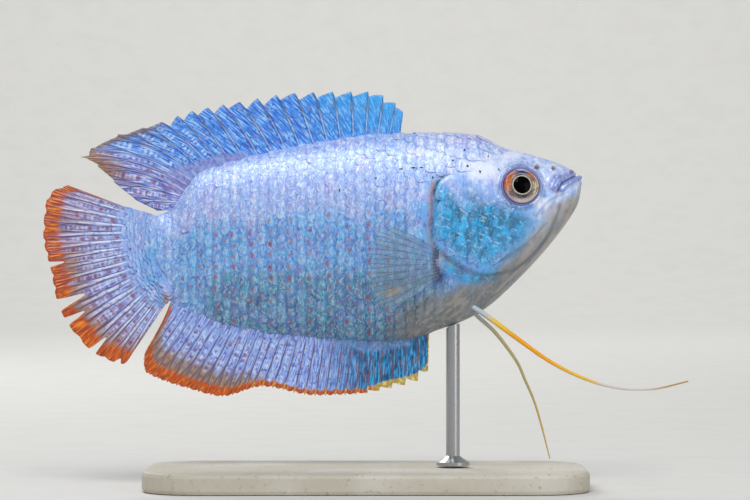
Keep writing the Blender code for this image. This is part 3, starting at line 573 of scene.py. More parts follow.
def lay_mesh(name, points, panels, marks=None):
    """A mesh object from points in millimetres, riding on the model.

    A panel is (faces, unwrap): rows of point numbers, and the place of each of their corners on the unwrap.
    """
    mesh = bpy.data.meshes.new(name)
    faces = [np.asarray(panel[0]) for panel in panels]
    corners = np.concatenate([f.ravel() for f in faces])
    sizes = np.concatenate([np.full(len(f), f.shape[1]) for f in faces])
    mesh.vertices.add(len(points))
    mesh.vertices.foreach_set("co", (np.asarray(points) * MM).astype(np.float32).ravel())
    mesh.loops.add(len(corners))
    mesh.loops.foreach_set("vertex_index", corners.astype(np.int32))
    mesh.polygons.add(len(sizes))
    mesh.polygons.foreach_set("loop_start", np.concatenate([[0], np.cumsum(sizes)[:-1]]).astype(np.int32))
    mesh.update(calc_edges=True)
    unwrap = mesh.uv_layers.new(name="OFBake")
    places = np.concatenate([np.asarray(panel[1], float).reshape(-1, 2) for panel in panels])
    unwrap.data.foreach_set("uv", places.astype(np.float32).ravel())
    for mark, values in (marks or {}).items():
        layer = mesh.attributes.new(mark, "FLOAT", "POINT")
        layer.data.foreach_set("value", np.asarray(values, np.float32).ravel())
    mesh.validate()
    mesh.shade_smooth()
    obj = bpy.data.objects.new(name, mesh)
    bpy.context.scene.collection.objects.link(obj)
    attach(obj, "root")
    return obj


def dress(obj, material, solids):
    """Gives a piece its material and hides the solids that it stands for."""
    obj.data.materials.append(material)
    if solids:
        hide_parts(*solids)


def unwrap_place(x, arc, side):
    """Where the skin at (x, arc, side) lies on the skin's unwrap."""
    down = 0.5 * arc / length_at(x)
    across = np.where(side > 0, down, 1 - down)
    return np.stack(np.broadcast_arrays((x - TAIL_X) / (SNOUT_X - TAIL_X), across), -1)


def skin_stations():
    """The x of each ring of the skin, closer together on the head and where the outline is steep."""
    steps = np.linspace(TAIL_X, SNOUT_X - 0.004, SKIN_STEPS)
    slope = sum(np.abs(np.gradient(curve_at(outline, steps), steps)) for outline in (BACK, BELLY))
    pace = np.where(steps > FINE_FROM, SKIN_FINE, SKIN_COARSE)
    run = np.cumsum(np.sqrt(1 + np.minimum(slope, STEEPEST)**2 * 0.5) / pace) * (steps[1] - steps[0])
    return np.interp(np.arange(0.0, run[-1], 1.0), run, steps)


def skin_ring(x):
    """One ring of the skin: its points with the way they face, and its places on the unwrap, which end
    where they began."""
    count = SKIN_SIDES * (2 if x > FINE_FROM else 1)
    half = count // 2
    j = np.arange(count + 1)
    side = np.where(j <= half, 1.0, -1.0)
    arc = length_at(x) * np.minimum(j, count - j) / half
    at = np.full(count + 1, x)
    ring = body_at(at, arc, side)
    ring[:, 1] *= curve_at(SKIN_TAIL, x)
    places = np.stack([(at - TAIL_X) / (SNOUT_X - TAIL_X), j / count], axis=-1)
    return np.concatenate([ring, facing_at(at, arc, side)], axis=1)[:count], places


def skin_panels(places):
    """The quads and triangles between the skin's rings and over its ends. Where a ring has twice the
    points of the one before, three triangles fill each gap."""
    counts = [len(ring) - 1 for ring in places]
    starts = np.concatenate([[0], np.cumsum(counts)])
    snout, tail = starts[-1], starts[-1] + 1
    quads, threes = [], []

    def corner(ring, j):
        return starts[ring] + j % counts[ring], places[ring][j]

    def end(ring, apex):
        j = np.arange(counts[ring])
        return (np.full(len(j), apex), places[ring][j]), corner(ring, j), corner(ring, j + 1)

    for k in range(1, len(counts)):
        j = np.arange(counts[k - 1])
        near, far = corner(k - 1, j), corner(k - 1, j + 1)
        if counts[k] == counts[k - 1]:
            quads.append((near, far, corner(k, j + 1), corner(k, j)))
        else:
            low, mid, high = (corner(k, 2 * j + extra) for extra in range(3))
            threes += [(near, mid, low), (near, far, mid), (far, high, mid)]
    middle, first, second = end(0, tail)
    threes += [(middle, second, first), end(len(counts) - 1, snout)]
    return [[np.concatenate([np.stack([corner[part] for corner in face], axis=1) for face in faces])
             for part in range(2)] for faces in (quads, threes)]


def build_skin(material):
    """One closed skin over head, body and tail stalk, with the face's folds raised in it."""
    rings, places = zip(*(skin_ring(x) for x in skin_stations()))
    points = np.concatenate(rings)
    x, z = points[:, 0], points[:, 2]
    bare = np.maximum(smooth_step(20.0, 23.0, x), on_head(lambda a, b: patch(THROAT, a, b, 1.0), x, z))
    rise = relief(x, z) - COAT_DEPTH * (1 - bare)
    surface = np.concatenate([points[:, :3] + points[:, 3:] * rise[:, None], SKIN_ENDS])
    marks = skin_marks(surface[:, 0], surface[:, 2])
    marks.update({name: np.full(len(surface), value) for name, value in BARE_MARKS.items()})
    skin = lay_mesh("skin", surface, skin_panels(places), marks)
    dress(skin, material,
          ("head", "jaw", "torso", "tail_stalk", "gill_cover_left", "gill_cover_right"))


def scale_columns():
    """The x of each column of scales, from the nape to the tail."""
    places = [SCALES_TO]
    while places[-1] > SCALES_FROM:
        places.append(places[-1] - float(curve_at(COLUMN_SPACING, places[-1])))
    return places


def scale_places(side):
    """(x, arc, row pitch, column spacing, column number) of each scale on one side."""
    found = []
    for number, x in enumerate(scale_columns()):
        pitch, spacing = float(curve_at(ROW_SPACING, x)), float(curve_at(COLUMN_SPACING, x))
        middle = float(arc_of(np.array([x]), curve_at(MIDDLE_ROW, np.array([x])))[0])
        for row in range(-MOST_ROWS, MOST_ROWS + 1):
            arc = middle + (row + 0.5 * (number % 2)) * pitch
            if not 0.3 * pitch < arc < float(length_at(x)) - 0.25 * pitch:
                continue
            z = body_at(np.array([x]), np.array([arc]), np.array([side]))[:, 2]
            if is_scaled(np.array([x]), z)[0]:
                found.append((x, arc, pitch, spacing, number))
    return np.array(found)


def run_of_rows(x, arc):
    """How fast a row of scales falls away from the back's ridge as x grows, in arc length."""
    def middle(at):
        return arc_of(at, curve_at(MIDDLE_ROW, at))

    step = 0.3
    shares = []
    for at in (x - step, x + step):
        above = middle(at) * arc / middle(x)
        below = middle(at) + (arc - middle(x)) * (length_at(at) - middle(at)) / (length_at(x) - middle(x))
        shares.append(np.where(arc < middle(x), above, below))
    return (shares[1] - shares[0]) / (2 * step)


def plate_pattern():
    """One scale, a thin closed lens with a straight rear edge. Each of its points has a share along and
    across it, a place behind its root in lengths, a place below it in half widths, and a rise. Its
    faces are quads, then the triangles of its underside."""
    even = np.linspace(-1.0, 1.0, SCALE_ACROSS)
    spaced = even * (1.35 - 0.35 * even**2)
    along, across = np.meshgrid(np.linspace(0.0, 1.0, SCALE_ALONG), spaced, indexing="ij")
    along, across = along.ravel(), across.ravel()
    last = SCALE_ACROSS - 1
    rim = np.array(list(range(SCALE_ACROSS))
                   + [i * SCALE_ACROSS + last for i in range(1, SCALE_ALONG)]
                   + [(SCALE_ALONG - 1) * SCALE_ACROSS + j for j in range(last - 1, -1, -1)]
                   + [i * SCALE_ACROSS for i in range(SCALE_ALONG - 2, 0, -1)])
    back = along * (0.72 + 0.28 * np.sqrt(1 - np.abs(0.985 * across)**3)) - 0.42
    rise = -0.25 + 0.35 * along - 0.05 * across**2 - 0.03 * smooth_step(0.85, 1.0, along)
    points = {
        "along": np.concatenate([along, along[rim], [0.5]]),
        "across": np.concatenate([across, across[rim], [0.0]]),
        "back": np.concatenate([back, back[rim] * 0.97, [0.0]]),
        "down": np.concatenate([across, across[rim] * 0.97, [0.0]]),
        "rise": np.concatenate([rise, rise[rim] - 0.06, [-0.25]]),
        "spread": np.concatenate([np.ones(len(along)), np.full(len(rim) + 1, 0.02)]),
    }
    top, k = len(along), np.arange(len(rim))
    after = (k + 1) % len(rim)
    walls = np.stack([rim[after], rim, top + k, top + after], axis=1)
    under = turned(fan_faces(top, len(rim), top + len(rim)))
    return points, (np.concatenate([grid_faces(SCALE_ALONG, SCALE_ACROSS), walls]), under)


PLATE, PLATE_FACES = plate_pattern()


def body_plates(side):
    """The scales of one side of the body: their points, their places on the unwrap, how strong their red
    dots are and whether the next scales lie over them."""
    home_x, home_arc, pitch, spacing, column = scale_places(side).T
    count = len(home_x)
    lean = np.clip(run_of_rows(home_x, home_arc), -1.2, 1.2)
    home_x = home_x + chance.normal(0.0, SCALE_DRIFT, count)
    home_arc = home_arc + chance.normal(0.0, ROW_DRIFT, count)
    home_z = body_at(home_x, home_arc, np.full(count, side))[:, 2]
    flat = 1 - 0.4 * np.maximum(skin_marks(home_x, home_z)["cheek"], 0.7 * smooth_step(8.0, 14.0, home_x))
    length = SCALE_LENGTH * spacing * chance.uniform(*SCALE_SIZES, count)
    lift = chance.normal(0.0, LIFT_DRIFT, count)
    x = home_x[:, None] - PLATE["back"] * length[:, None]
    arc = home_arc[:, None] + PLATE["down"] * (SCALE_WIDTH * pitch)[:, None]
    arc += lean[:, None] * (x - home_x[:, None])
    height = (PLATE["rise"] + lift[:, None] * PLATE["along"]) * flat[:, None]
    sides = np.full_like(x, side)
    base = body_at(x, arc, sides)
    points = base + facing_at(x, arc, sides) * (height + relief(base[..., 0], base[..., 2]))[..., None]
    points[..., 1] *= curve_at(SKIN_TAIL, points[..., 0])
    share = (home_z - curve_at(BELLY, home_x)) / (curve_at(BACK, home_x) - curve_at(BELLY, home_x))
    dot = np.where(column % 2 == 0, 1.0, 0.5) * chance.uniform(*DOT_SIZES, count)**0.7
    dot *= smooth_step(0.95, 0.5, share) * smooth_step(-29.0, -25.0, home_x) * smooth_step(9.0, 4.0, home_x)
    gaps_x, gaps_arc = home_x[None, :] - home_x[:, None], home_arc[None, :] - home_arc[:, None]
    beside = np.abs(gaps_x - spacing[:, None]) < 0.5 * spacing[:, None]
    in_front = beside & (np.abs(gaps_arc) < pitch[:, None])
    return points, unwrap_place(home_x, home_arc, np.full(count, side)), dot, in_front.sum(1) > 1


def root_plates(side):
    """The small scales over the tail fin's root, which lie on its face in rows that bend with its rays."""
    points, homes = [], []
    for row, share in enumerate(ROOT_ROWS):
        for place in np.arange(0.35 + 0.3 * (row % 2), TAIL_RAYS - 1.2, ROOT_STEP):
            if share + chance.uniform(0.0, 0.06) > curve_at(ROOT_REACH, place):
                continue
            place += chance.normal(0.0, ROOT_DRIFT)
            root, tip = (knots_line(knots, np.array([place]))[0] for knots in (TAIL_ROOTS, TAIL_TIPS))
            run = (tip - root) / np.linalg.norm(tip - root)
            home = root + (tip - root) * (share + chance.normal(0.0, ROOT_ROW_DRIFT))
            down = np.array([-run[1], run[0]]) * ROOT_SCALE_WIDTH * side
            flat = home + PLATE["back"][:, None] * ROOT_SCALE_LENGTH * run + PLATE["down"][:, None] * down
            out = fin_half(share, TAIL_ROOT_HALF) + ROOT_SCALE_RISE * (0.22 + PLATE["rise"])
            points.append(np.stack([flat[:, 0], side * out, flat[:, 1]], -1))
            home_x = (home[0] - TAIL_X) / (SNOUT_X - TAIL_X) + 0.08
            homes.append((home_x, 0.5 - side * (home[1] - 20.0) / 50.0))
    return np.array(points), np.array(homes)


def build_scales(side, name, material):
    """The overlapping scales of one side. Those of the tail's root lie on the half of the unwrap that the
    side's own scales leave free."""
    body, body_homes, dot, covered = body_plates(side)
    root, root_homes = root_plates(side)
    points = np.concatenate([body, root])
    homes = np.concatenate([body_homes, root_homes])
    count, each = points.shape[:2]
    local = np.stack([PLATE["along"] - 0.5, PLATE["across"] * 0.5], axis=1) * PLATE["spread"][:, None]
    places = (homes[:, None, :] + local[None] * UNWRAP_PATCH).reshape(-1, 2)
    starts = (np.arange(count) * each)[:, None, None]
    panels = []
    for faces in PLATE_FACES:
        wound = faces if side > 0 else faces[:, ::-1]
        corners = (starts + wound[None]).reshape(-1, faces.shape[1])
        panels.append((corners, places[corners]))
    marks = skin_marks(points[..., 0].ravel(), points[..., 2].ravel())
    marks["along"], marks["across"] = np.tile(PLATE["along"], count), np.tile(PLATE["across"], count)
    marks["tone"] = np.repeat(chance.random(count), each)
    marks["dot"] = np.repeat(np.concatenate([dot, np.zeros(len(root))]), each)
    marks["cover"] = np.repeat(np.concatenate([covered, np.ones(len(root))]), each)
    marks["plate"] = np.repeat(np.concatenate([np.ones(len(body)), np.full(len(root), 0.35)]), each)
    scales = lay_mesh(name, points.reshape(-1, 3), panels, marks)
    scales.data.set_sharp_from_angle(angle=math.radians(50))
    dress(scales, material, ())


def fin_half(share, root_half):
    """Half the thickness of a fin's web, which swells where it grows out of the body."""
    return WEB_HALF + (root_half - WEB_HALF) * np.maximum(1 - share / 0.3, 0.0)**2


def fin_rows(root, tip, bow, reach, rows):
    """The membrane's points as (x, height), and how far out each lies as a share of its ray."""
    run = tip - root
    control = root + run / 2 + np.stack([-run[:, 1], run[:, 0]], -1) * bow[:, None]
    share = reach[:, None] * np.sin(np.linspace(0.0, 0.5 * math.pi, rows + 1))[None, :]**0.85
    s = share[..., None]
    return root[:, None] * (1 - s)**2 + control[:, None] * 2 * s * (1 - s) + tip[:, None] * s**2, share


def ray_ridges(place, share, soft_from):
    """How far the rays stand up at each point, and how far apart a soft ray's fork and twigs are there."""
    off = np.abs(place - np.round(place))[:, None]
    soft = smooth_step(soft_from - 1.0, soft_from, place)[:, None]
    fork = 0.25 * smooth_step(0.42, 0.92, share) * soft
    twig = 0.125 * smooth_step(0.7, 1.0, share) * soft
    width = 0.13 - 0.07 * share
    return bell(np.abs(np.abs(off - fork) - twig), 0.0, width) * (1 - 0.3 * share), fork, twig


def fin_faces(columns, per):
    """The faces of a fin's right and left side and of its four rims."""
    sheet = columns * per
    side = grid_faces(columns, per)
    low = np.arange(columns - 1) * per
    high = low + per - 1
    first = np.arange(per - 1)
    last = (columns - 1) * per + first
    rims = [np.stack([a, b, sheet + b, sheet + a], axis=1)
            for a, b in ((low, low + per), (high + per, high), (first + 1, first), (last, last + 1))]
    return np.concatenate([side, sheet + side[:, ::-1]] + rims)


FIN_MARKS = ("maroon", "pearl", "ember", "glow", "straw", "rust", "smoke", "zone", "near", "cyan")


def build_fin(name, material, solid, rays, root_of, tips, bow, reach_of, soft_from, paint, fine, rows,
              root_half=0.5, middle_y=lambda x: 0.0, wave=0.12):
    """A thin membrane whose rays are ridges in both faces, branching towards its edge where soft."""
    place = np.linspace(0.0, rays - 1.0, (rays - 1) * fine + 1)
    root, tip, reach = root_of(place), knots_line(tips, place), reach_of(place)
    flat, share = fin_rows(root, tip, curve_at(bow, place), reach, rows)
    x, z = flat[..., 0], flat[..., 1]
    run = tip - root
    span = np.linalg.norm(run, axis=1)[:, None]
    centre = np.minimum(place.astype(int), rays - 2) * fine + fine // 2
    level = np.sum((flat - root[centre][:, None]) * run[centre][:, None], axis=-1) / span[centre]**2
    edge = (reach[:, None] - share) * span
    ridge, fork, twig = ray_ridges(place, share, soft_from)
    half = fin_half(share, root_half) + (RAY_HALF - WEB_HALF) * ridge
    half *= 0.35 + 0.65 * smooth_step(0.0, 0.35, edge)
    sway = wave * np.sin(place * 1.9)[:, None] * np.sin(2.2 * share) * smooth_step(0.2, 1.0, share)
    middle = middle_y(x) + sway
    sides = [np.stack([x, y, z], -1).reshape(-1, 3) for y in (middle - half, middle + half)]
    ray = np.broadcast_to(place[:, None], share.shape)
    marks = {mark: np.zeros(share.shape) for mark in FIN_MARKS}
    marks.update(share=share, fork=fork, twig=twig, level=level, ray=ray)
    marks.update(paint(ray, share, edge, (1 - share) * span, level))
    marks = {mark: np.tile(np.maximum(values, 0.0).ravel(), 2) for mark, values in marks.items()}
    column_place = 0.48 * np.repeat(place / (rays - 1), rows + 1)
    row_place = np.tile(np.linspace(0.01, 0.99, rows + 1), len(place))
    places = np.concatenate([np.stack([start + column_place, row_place], 1) for start in (0.01, 0.51)])
    faces = fin_faces(len(place), rows + 1)
    fin = lay_mesh(name, np.concatenate(sides), [(faces, places[faces])], marks)
    dress(fin, material, (solid,))


def web_spots(place, level, rows, size, jitter, seed):
    """Spots in rows across the webs, one in each gap between rays, moved a little by chance."""
    spread = np.random.default_rng(seed)
    gaps = int(place.max()) + 1
    drift = spread.normal(0.0, jitter, (gaps, len(rows)))
    bold = spread.uniform(0.3, 1.0, (gaps, len(rows)))
    gap = np.minimum(place.astype(int), gaps - 1)
    found = np.zeros(level.shape)
    for k, row in enumerate(rows):
        centre = row + drift[gap, k]
        found = np.maximum(found, bold[gap, k] * bell(place - gap, 0.5, 0.27) * bell(level, centre, size))
    return found


def knots_line(knots, place):
    """The (x, height) at each place among the rays of a line through knots."""
    return np.stack([curve_at(knots, place, 1), curve_at(knots, place, 2)], -1)


def notched(place, depth):
    """How far out a web reaches that dips by depth between its rays."""
    part = place % 1.0
    return 1.0 - depth * smooth_step(0.02, 0.5, part) * (1 - smooth_step(0.5, 0.98, part))


def sawn(place, depth):
    """The web of a spiny fin: it falls away behind each spine's tip, down to the next spine's front."""
    part = place % 1.0
    return 1.0 - depth * np.minimum(part / 0.88, 1.0)**1.2 * (1 - smooth_step(0.93, 1.0, part))


def scalloped(place, depth):
    """A web that bulges between spines whose tips just show."""
    part = place % 1.0
    dip = smooth_step(0.0, 0.12, part) * (1 - smooth_step(0.88, 1.0, part))
    return 1.0 - depth * dip * (1 - 0.75 * np.sin(part * math.pi)**2)


def build_dorsal(material):
    """The dorsal fin: toothed over its spines, with a long soft lobe behind."""
    def root_of(place):
        x = curve_at(DORSAL_ROOTS, place)
        return np.stack([x, curve_at(BACK, x) - ROOT_SUNK], -1)

    def reach_of(place):
        own = np.random.default_rng(NOTCH_SEED).uniform(*NOTCH_DEPTHS, DORSAL_RAYS)[place.astype(int)]
        depth = np.where(place < DORSAL_SPINES - 1, DORSAL_NOTCH * own, SOFT_NOTCH)
        return sawn(place, depth) + 0.05 * bell(place, 19.0, 0.09) + 0.035 * bell(place, 17.0, 0.09)

    def paint(place, share, edge, outer, level):
        lobe = smooth_step(13.0, 17.5, place)
        spots = web_spots(place, level, WEB_ROWS, 0.036, 0.016, DORSAL_SEED)
        return {
            "maroon": spots * (0.1 + 0.9 * smooth_step(17.0, 20.0, place)),
            "pearl": smooth_step(12.0, 15.0, place) * between(0.16, 0.34, 0.86, 0.97, share),
            "straw": 0.45 * smooth_step(0.3, 0.05, edge),
            "smoke": lobe * smooth_step(2.6, 0.2, outer) * smooth_step(22.0, 20.0, place),
            "zone": smooth_step(16.6, 19.6, place),
            "near": smooth_step(0.36, 0.1, share) * between(9.0, 14.0, 19.5, 21.5, place),
            "rust": 0.8 * bell(place, 19.6, 1.4) * smooth_step(0.55, 0.85, share),
            "cyan": smooth_step(9.0, 2.0, place) * (0.4 + 0.6 * share),
        }

    build_fin("dorsal_membrane", material, "dorsal_fin", DORSAL_RAYS, root_of, DORSAL_TIPS,
              DORSAL_BOW, reach_of, DORSAL_SPINES, paint, fine=18, rows=54)


def build_anal(material):
    """The anal fin: long and low, toothed in front and scalloped behind, with a glowing edge."""
    def root_of(place):
        x = curve_at(ANAL_ROOTS, place)
        return np.stack([x, curve_at(BELLY, x) + ROOT_SUNK], -1)

    def reach_of(place):
        depth = np.where(place < 20, curve_at(ANAL_NOTCHES, np.floor(place)), SOFT_NOTCH)
        front = smooth_step(7.0, 4.0, place)
        return front * sawn(place, depth) + (1 - front) * scalloped(place, depth)

    def paint(place, share, edge, outer, level):
        band = curve_at(ANAL_EDGE, place)
        rear = smooth_step(12.0, 19.0, place)
        last = smooth_step(28.7, 29.7, place) * smooth_step(0.05, 0.4, share)
        ticks = bell(place, np.round(place), 0.1) * smooth_step(2.0, 0.6, outer)
        ticks = 0.9 * ticks * between(3.5, 5.5, 15.5, 17.5, place)
        return {
            "maroon": web_spots(place, level, WEB_ROWS, 0.03, 0.022, ANAL_SEED) * (0.15 + 0.85 * rear),
            "pearl": between(0.12, 0.3, 0.84, 0.98, share) * smooth_step(9.0, 16.0, place),
            "ember": np.maximum(smooth_step(1.6, 0.85, edge / band) * smooth_step(1.5, 5.5, place), last),
            "straw": np.maximum(smooth_step(1.7, 0.8, outer) * smooth_step(5.5, 3.5, place),
                                ticks + 0.7 * smooth_step(0.2, 0.05, place)),
            "rust": 0.9 * smooth_step(4.6, 1.3, edge / band) * rear,
            "glow": smooth_step(30.0, 26.0, place),
            "cyan": smooth_step(12.0, 7.0, place) * 0.5,
            "zone": smooth_step(10.5, 5.5, place + 1.5 * share),
            "near": smooth_step(0.5, 0.1, share) * between(0.0, 3.0, 4.0, 14.0, place),
        }

    build_fin("anal_membrane", material, "anal_fin", ANAL_RAYS, root_of, ANAL_TIPS, ANAL_BOW,
              reach_of, ANAL_SPINES, paint, fine=16, rows=50)


def build_tail(material):
    """The tail fin: soft rays, some of them split apart at their ends."""
    def reach_of(place):
        depth = np.array([TAIL_SPLITS.get(int(p), TAIL_NOTCH) for p in place])
        part = place % 1.0
        return 1.0 - depth * between(0.22, 0.5, 0.56, 0.84, part)

    def paint(place, share, edge, outer, level):
        top_edge = smooth_step(0.4, 0.0, place) * smooth_step(0.3, 0.7, share)
        uneven = 0.3 * np.sin(place * 2.1) + 0.12 * np.sin(place * 9.0)
        lower = smooth_step(4.4, 7.0, place)
        return {
            "maroon": web_spots(place, level, TAIL_ROWS, 0.026, 0.026, TAIL_SEED),
            "pearl": between(0.16, 0.3, 0.74, 0.9, share),
            "ember": np.maximum(smooth_step(3.4, 1.3, outer + uneven), 0.85 * top_edge),
            "rust": 0.35 * smooth_step(5.5, 2.6, outer) * lower + 0.36 * smooth_step(8.5, 3.0, outer),
            "zone": smooth_step(0.4, 0.75, share),
            "near": smooth_step(0.2, -0.06, share - curve_at(ROOT_REACH, place)),
            "glow": smooth_step(8.0, 12.0, place),
        }

    build_fin("tail_membrane", material, "tail_fin", TAIL_RAYS,
              lambda place: knots_line(TAIL_ROOTS, place), TAIL_TIPS, TAIL_BOW, reach_of, 0.0, paint,
              fine=24, rows=64, root_half=TAIL_ROOT_HALF)


def build_pectorals(material):
    """The two pectoral fins, which stand out from the flank behind the gill covers."""
    _, root_x, root_z = PECTORAL_ROOTS[0]
    at = np.array([root_x])
    flank = body_at(at, arc_of(at, np.array([root_z])), np.array([1.0]))[0, 1]
    start = float(np.abs(flank)) - SOLID_RAY / 2

    def paint(place, share, edge, outer, level):
        return {"smoke": smooth_step(1.6, 0.2, outer), "near": smooth_step(0.16, 0.04, share),
                "straw": bell(place, 8.35, 0.6) * bell(share, 0.7, 0.17)}

    for side, name in ((-1, "right"), (1, "left")):
        build_fin("pectoral_membrane_" + name, material, "pectoral_fin_" + name,
                  PECTORAL_RAYS, lambda place: knots_line(PECTORAL_ROOTS, place), PECTORAL_TIPS,
                  PECTORAL_BOW, lambda place: notched(place, PECTORAL_NOTCH), 0.0, paint, fine=12,
                  rows=44, root_half=0.55, wave=0.1,
                  middle_y=lambda x: side * (start + (root_x - x) * math.tan(PECTORAL_FLARE)))


def build_pores(material):
    """Dark sense pores of the nape and the first short dashes of the lateral line, as low domes."""
    out, angle = np.meshgrid(PORE_RINGS, 2 * math.pi * np.arange(PORE_SIDES) / PORE_SIDES, indexing="ij")
    out, angle = out.ravel(), angle.ravel()
    walls = grid_faces(len(PORE_RINGS), PORE_SIDES, closed=True)
    dome = np.concatenate([fan_faces(0, PORE_SIDES, len(out)), walls[:, [0, 3, 2]], walls[:, [0, 2, 1]]])
    points, faces, places = [], [], []
    for side in (-1.0, 1.0):
        for x, z, wide, tall in PORES:
            at, home = np.array([x]), np.array([side])
            arc = arc_of(at, np.array([z]))
            spot_x, spot_arc = x + out * wide * np.cos(angle), arc + out * tall * np.sin(angle)
            lift = PORE_LIFT - PORE_DROOP * out**3 + relief(spot_x, np.full(len(out), z))
            sides = np.full(len(out), side)
            faces.append(len(points) * (len(out) + 1) + (dome if side > 0 else turned(dome)))
            points.append(np.concatenate([
                body_at(spot_x, spot_arc, sides) + facing_at(spot_x, spot_arc, sides) * lift[:, None],
                body_at(at, arc, home) + facing_at(at, arc, home) * PORE_LIFT]))
            places.append(unwrap_place(at, arc, home)[0])
    spread = np.array([[-0.4, -0.3], [0.4, -0.3], [0.0, 0.5]]) * UNWRAP_PATCH
    unwrap = np.repeat(np.array(places), len(dome), axis=0)[:, None, :] + spread[None]
    pores = lay_mesh("pores", np.concatenate(points), [(np.concatenate(faces), unwrap)])
    dress(pores, material, ())


def build_feeler(path, name, solid, material, far):
    """A soft round thread, thick and pale at its root."""
    line = spline(path, FEELER_RINGS)
    length = np.concatenate([[0.0], np.cumsum(np.linalg.norm(np.diff(line, axis=0), axis=1))])
    share = length / length[-1]
    radius = FEELER_TIP_RADIUS + (FEELER_ROOT_RADIUS - FEELER_TIP_RADIUS) * (1 - share)
    radius = (1 - FAR_THINNER * far) * radius * (1 + 0.05 * np.sin(share * 420.0))
    run = np.gradient(line, axis=0)
    run /= np.linalg.norm(run, axis=1, keepdims=True)
    across = np.cross(run, np.array([0.0, 0.0, 1.0]))
    across /= np.linalg.norm(across, axis=1, keepdims=True)
    lift = np.cross(across, run)
    angle = (2 * math.pi * np.arange(FEELER_SIDES) / FEELER_SIDES)[None, :, None]
    out = across[:, None] * np.cos(angle) + lift[:, None] * np.sin(angle)
    points = line[:, None] + radius[:, None, None] * out
    points = np.concatenate([points.reshape(-1, 3), line[:1], line[-1:]])
    quads = grid_faces(FEELER_RINGS, FEELER_SIDES, closed=True)
    ring, side = quads[:, 0] // FEELER_SIDES, quads[:, 0] % FEELER_SIDES
    quad_places = np.stack([np.stack([(ring + a) / FEELER_RINGS, (side + b) / FEELER_SIDES], 1)
                            for a, b in ((0, 0), (0, 1), (1, 1), (1, 0))], axis=1)
    root = FEELER_RINGS * FEELER_SIDES
    caps = np.concatenate([turned(fan_faces(0, FEELER_SIDES, root)),
                           fan_faces(root - FEELER_SIDES, FEELER_SIDES, root + 1)])
    cap_places = np.zeros((len(caps), 3, 2)) + np.array([0.995, 0.5])
    marks = {"share": np.concatenate([np.repeat(share, FEELER_SIDES), [0.0, 1.0]]),
             "far": np.full(len(points), far)}
    feeler = lay_mesh(name, points, [(quads, quad_places), (caps, cap_places)], marks)
    dress(feeler, material, (solid,))


EYE_MARKS = ("front", "radius", "east", "north", "shade", "ember", "painted_glint_arc", "cream", "bone")


def iris_marks(radius, angle, front):
    """The marks of the iris's rings and patches, whose angles run from the front of the eye upwards."""
    def sector(middle, spread):
        return bell((angle - middle + 180) % 360 - 180, 0.0, spread)

    iris = smooth_step(1.5, 1.65, radius) * smooth_step(2.7, 2.56, radius)
    shade = 0.35 * bell(radius, 1.56, 0.08)
    for strength, middle, spread, ring, width in IRIS_SHADES:
        shade = shade + strength * sector(middle, spread) * bell(radius, ring, width)
    ember = 1.2 * sector(160, 36) * smooth_step(1.55, 1.85, radius)
    ember += 0.8 * sector(46, 18) * bell(radius, 2.1, 0.35)
    # The pale blue arcs at the top of the iris are a painted highlight, where the key light reflects.
    painted_glint_arc = bell(radius, 2.38, 0.2) + 0.7 * bell(radius, 1.7, 0.09)
    return {
        "front": front,
        "radius": radius,
        "east": np.cos(np.radians(angle)),
        "north": np.sin(np.radians(angle)),
        "shade": np.clip(shade, 0, 1),
        "ember": iris * np.clip(ember, 0, 1),
        "painted_glint_arc": iris * sector(88, 36) * np.clip(painted_glint_arc, 0, 1),
        "cream": iris * sector(-4, 42),
        "bone": iris * sector(-95, 66) * bell(radius, 2.28, 0.3),
    }


def build_eye(side, name, solid, material):
    """An eyeball with a domed pupil, and marks for the rings of its iris."""
    x, z = (np.array([value]) for value in EYE_PLACE)
    arc, sides = arc_of(x, z), np.array([float(side)])
    facing = Vector(facing_at(x, arc, sides)[0])
    centre = body_at(x, arc, sides)[0] - np.array(facing) * EYE_SUNK
    turn = np.array(Vector((0.0, 1.0, 0.0)).rotation_difference(facing).to_matrix())
    polar = (math.pi * np.arange(1, EYE_ROWS) / EYE_ROWS)[:, None]
    angle = 2 * math.pi * np.arange(EYE_COLUMNS) / EYE_COLUMNS
    out = EYE_RADIUS * np.sin(polar) * np.ones(EYE_COLUMNS)
    dome = -EYE_DEPTH * np.cos(polar) * np.ones(EYE_COLUMNS)
    ball = np.stack([out * np.cos(angle), dome, out * np.sin(angle)], -1).reshape(-1, 3)
    back = len(ball)
    quads = turned(grid_faces(EYE_ROWS - 1, EYE_COLUMNS, closed=True))
    caps = np.concatenate([fan_faces(0, EYE_COLUMNS, back),
                           turned(fan_faces(back - EYE_COLUMNS, EYE_COLUMNS, back + 1))])
    ball = np.concatenate([ball, [[0.0, -EYE_DEPTH, 0.0]], [[0.0, EYE_DEPTH, 0.0]]])
    points = ball @ turn.T + centre
    front = ball[:, 1] > 0
    places = 0.5 + 0.24 * ball[:, [0, 2]] / EYE_RADIUS
    places[:, 0] += np.where(front, -0.25, 0.25)
    bearing = np.degrees(np.arctan2(points[:, 2] - EYE_PLACE[1], points[:, 0] - EYE_PLACE[0]))
    marks = iris_marks(np.hypot(ball[:, 0], ball[:, 2]), bearing, front)
    eye = lay_mesh(name, points, [(quads, places[quads]), (caps, places[caps])], marks)
    dress(eye, material, (solid,))


def linear(code):
    """An sRGB hex colour as linear red, green, blue and alpha. Another node's output stays as it is."""
    if not isinstance(code, str):
        return code
    parts = [int(code[i:i + 2], 16) / 255 for i in (1, 3, 5)]
    return tuple(p / 12.92 if p <= 0.04045 else ((p + 0.055) / 1.055)**2.4 for p in parts) + (1.0,)


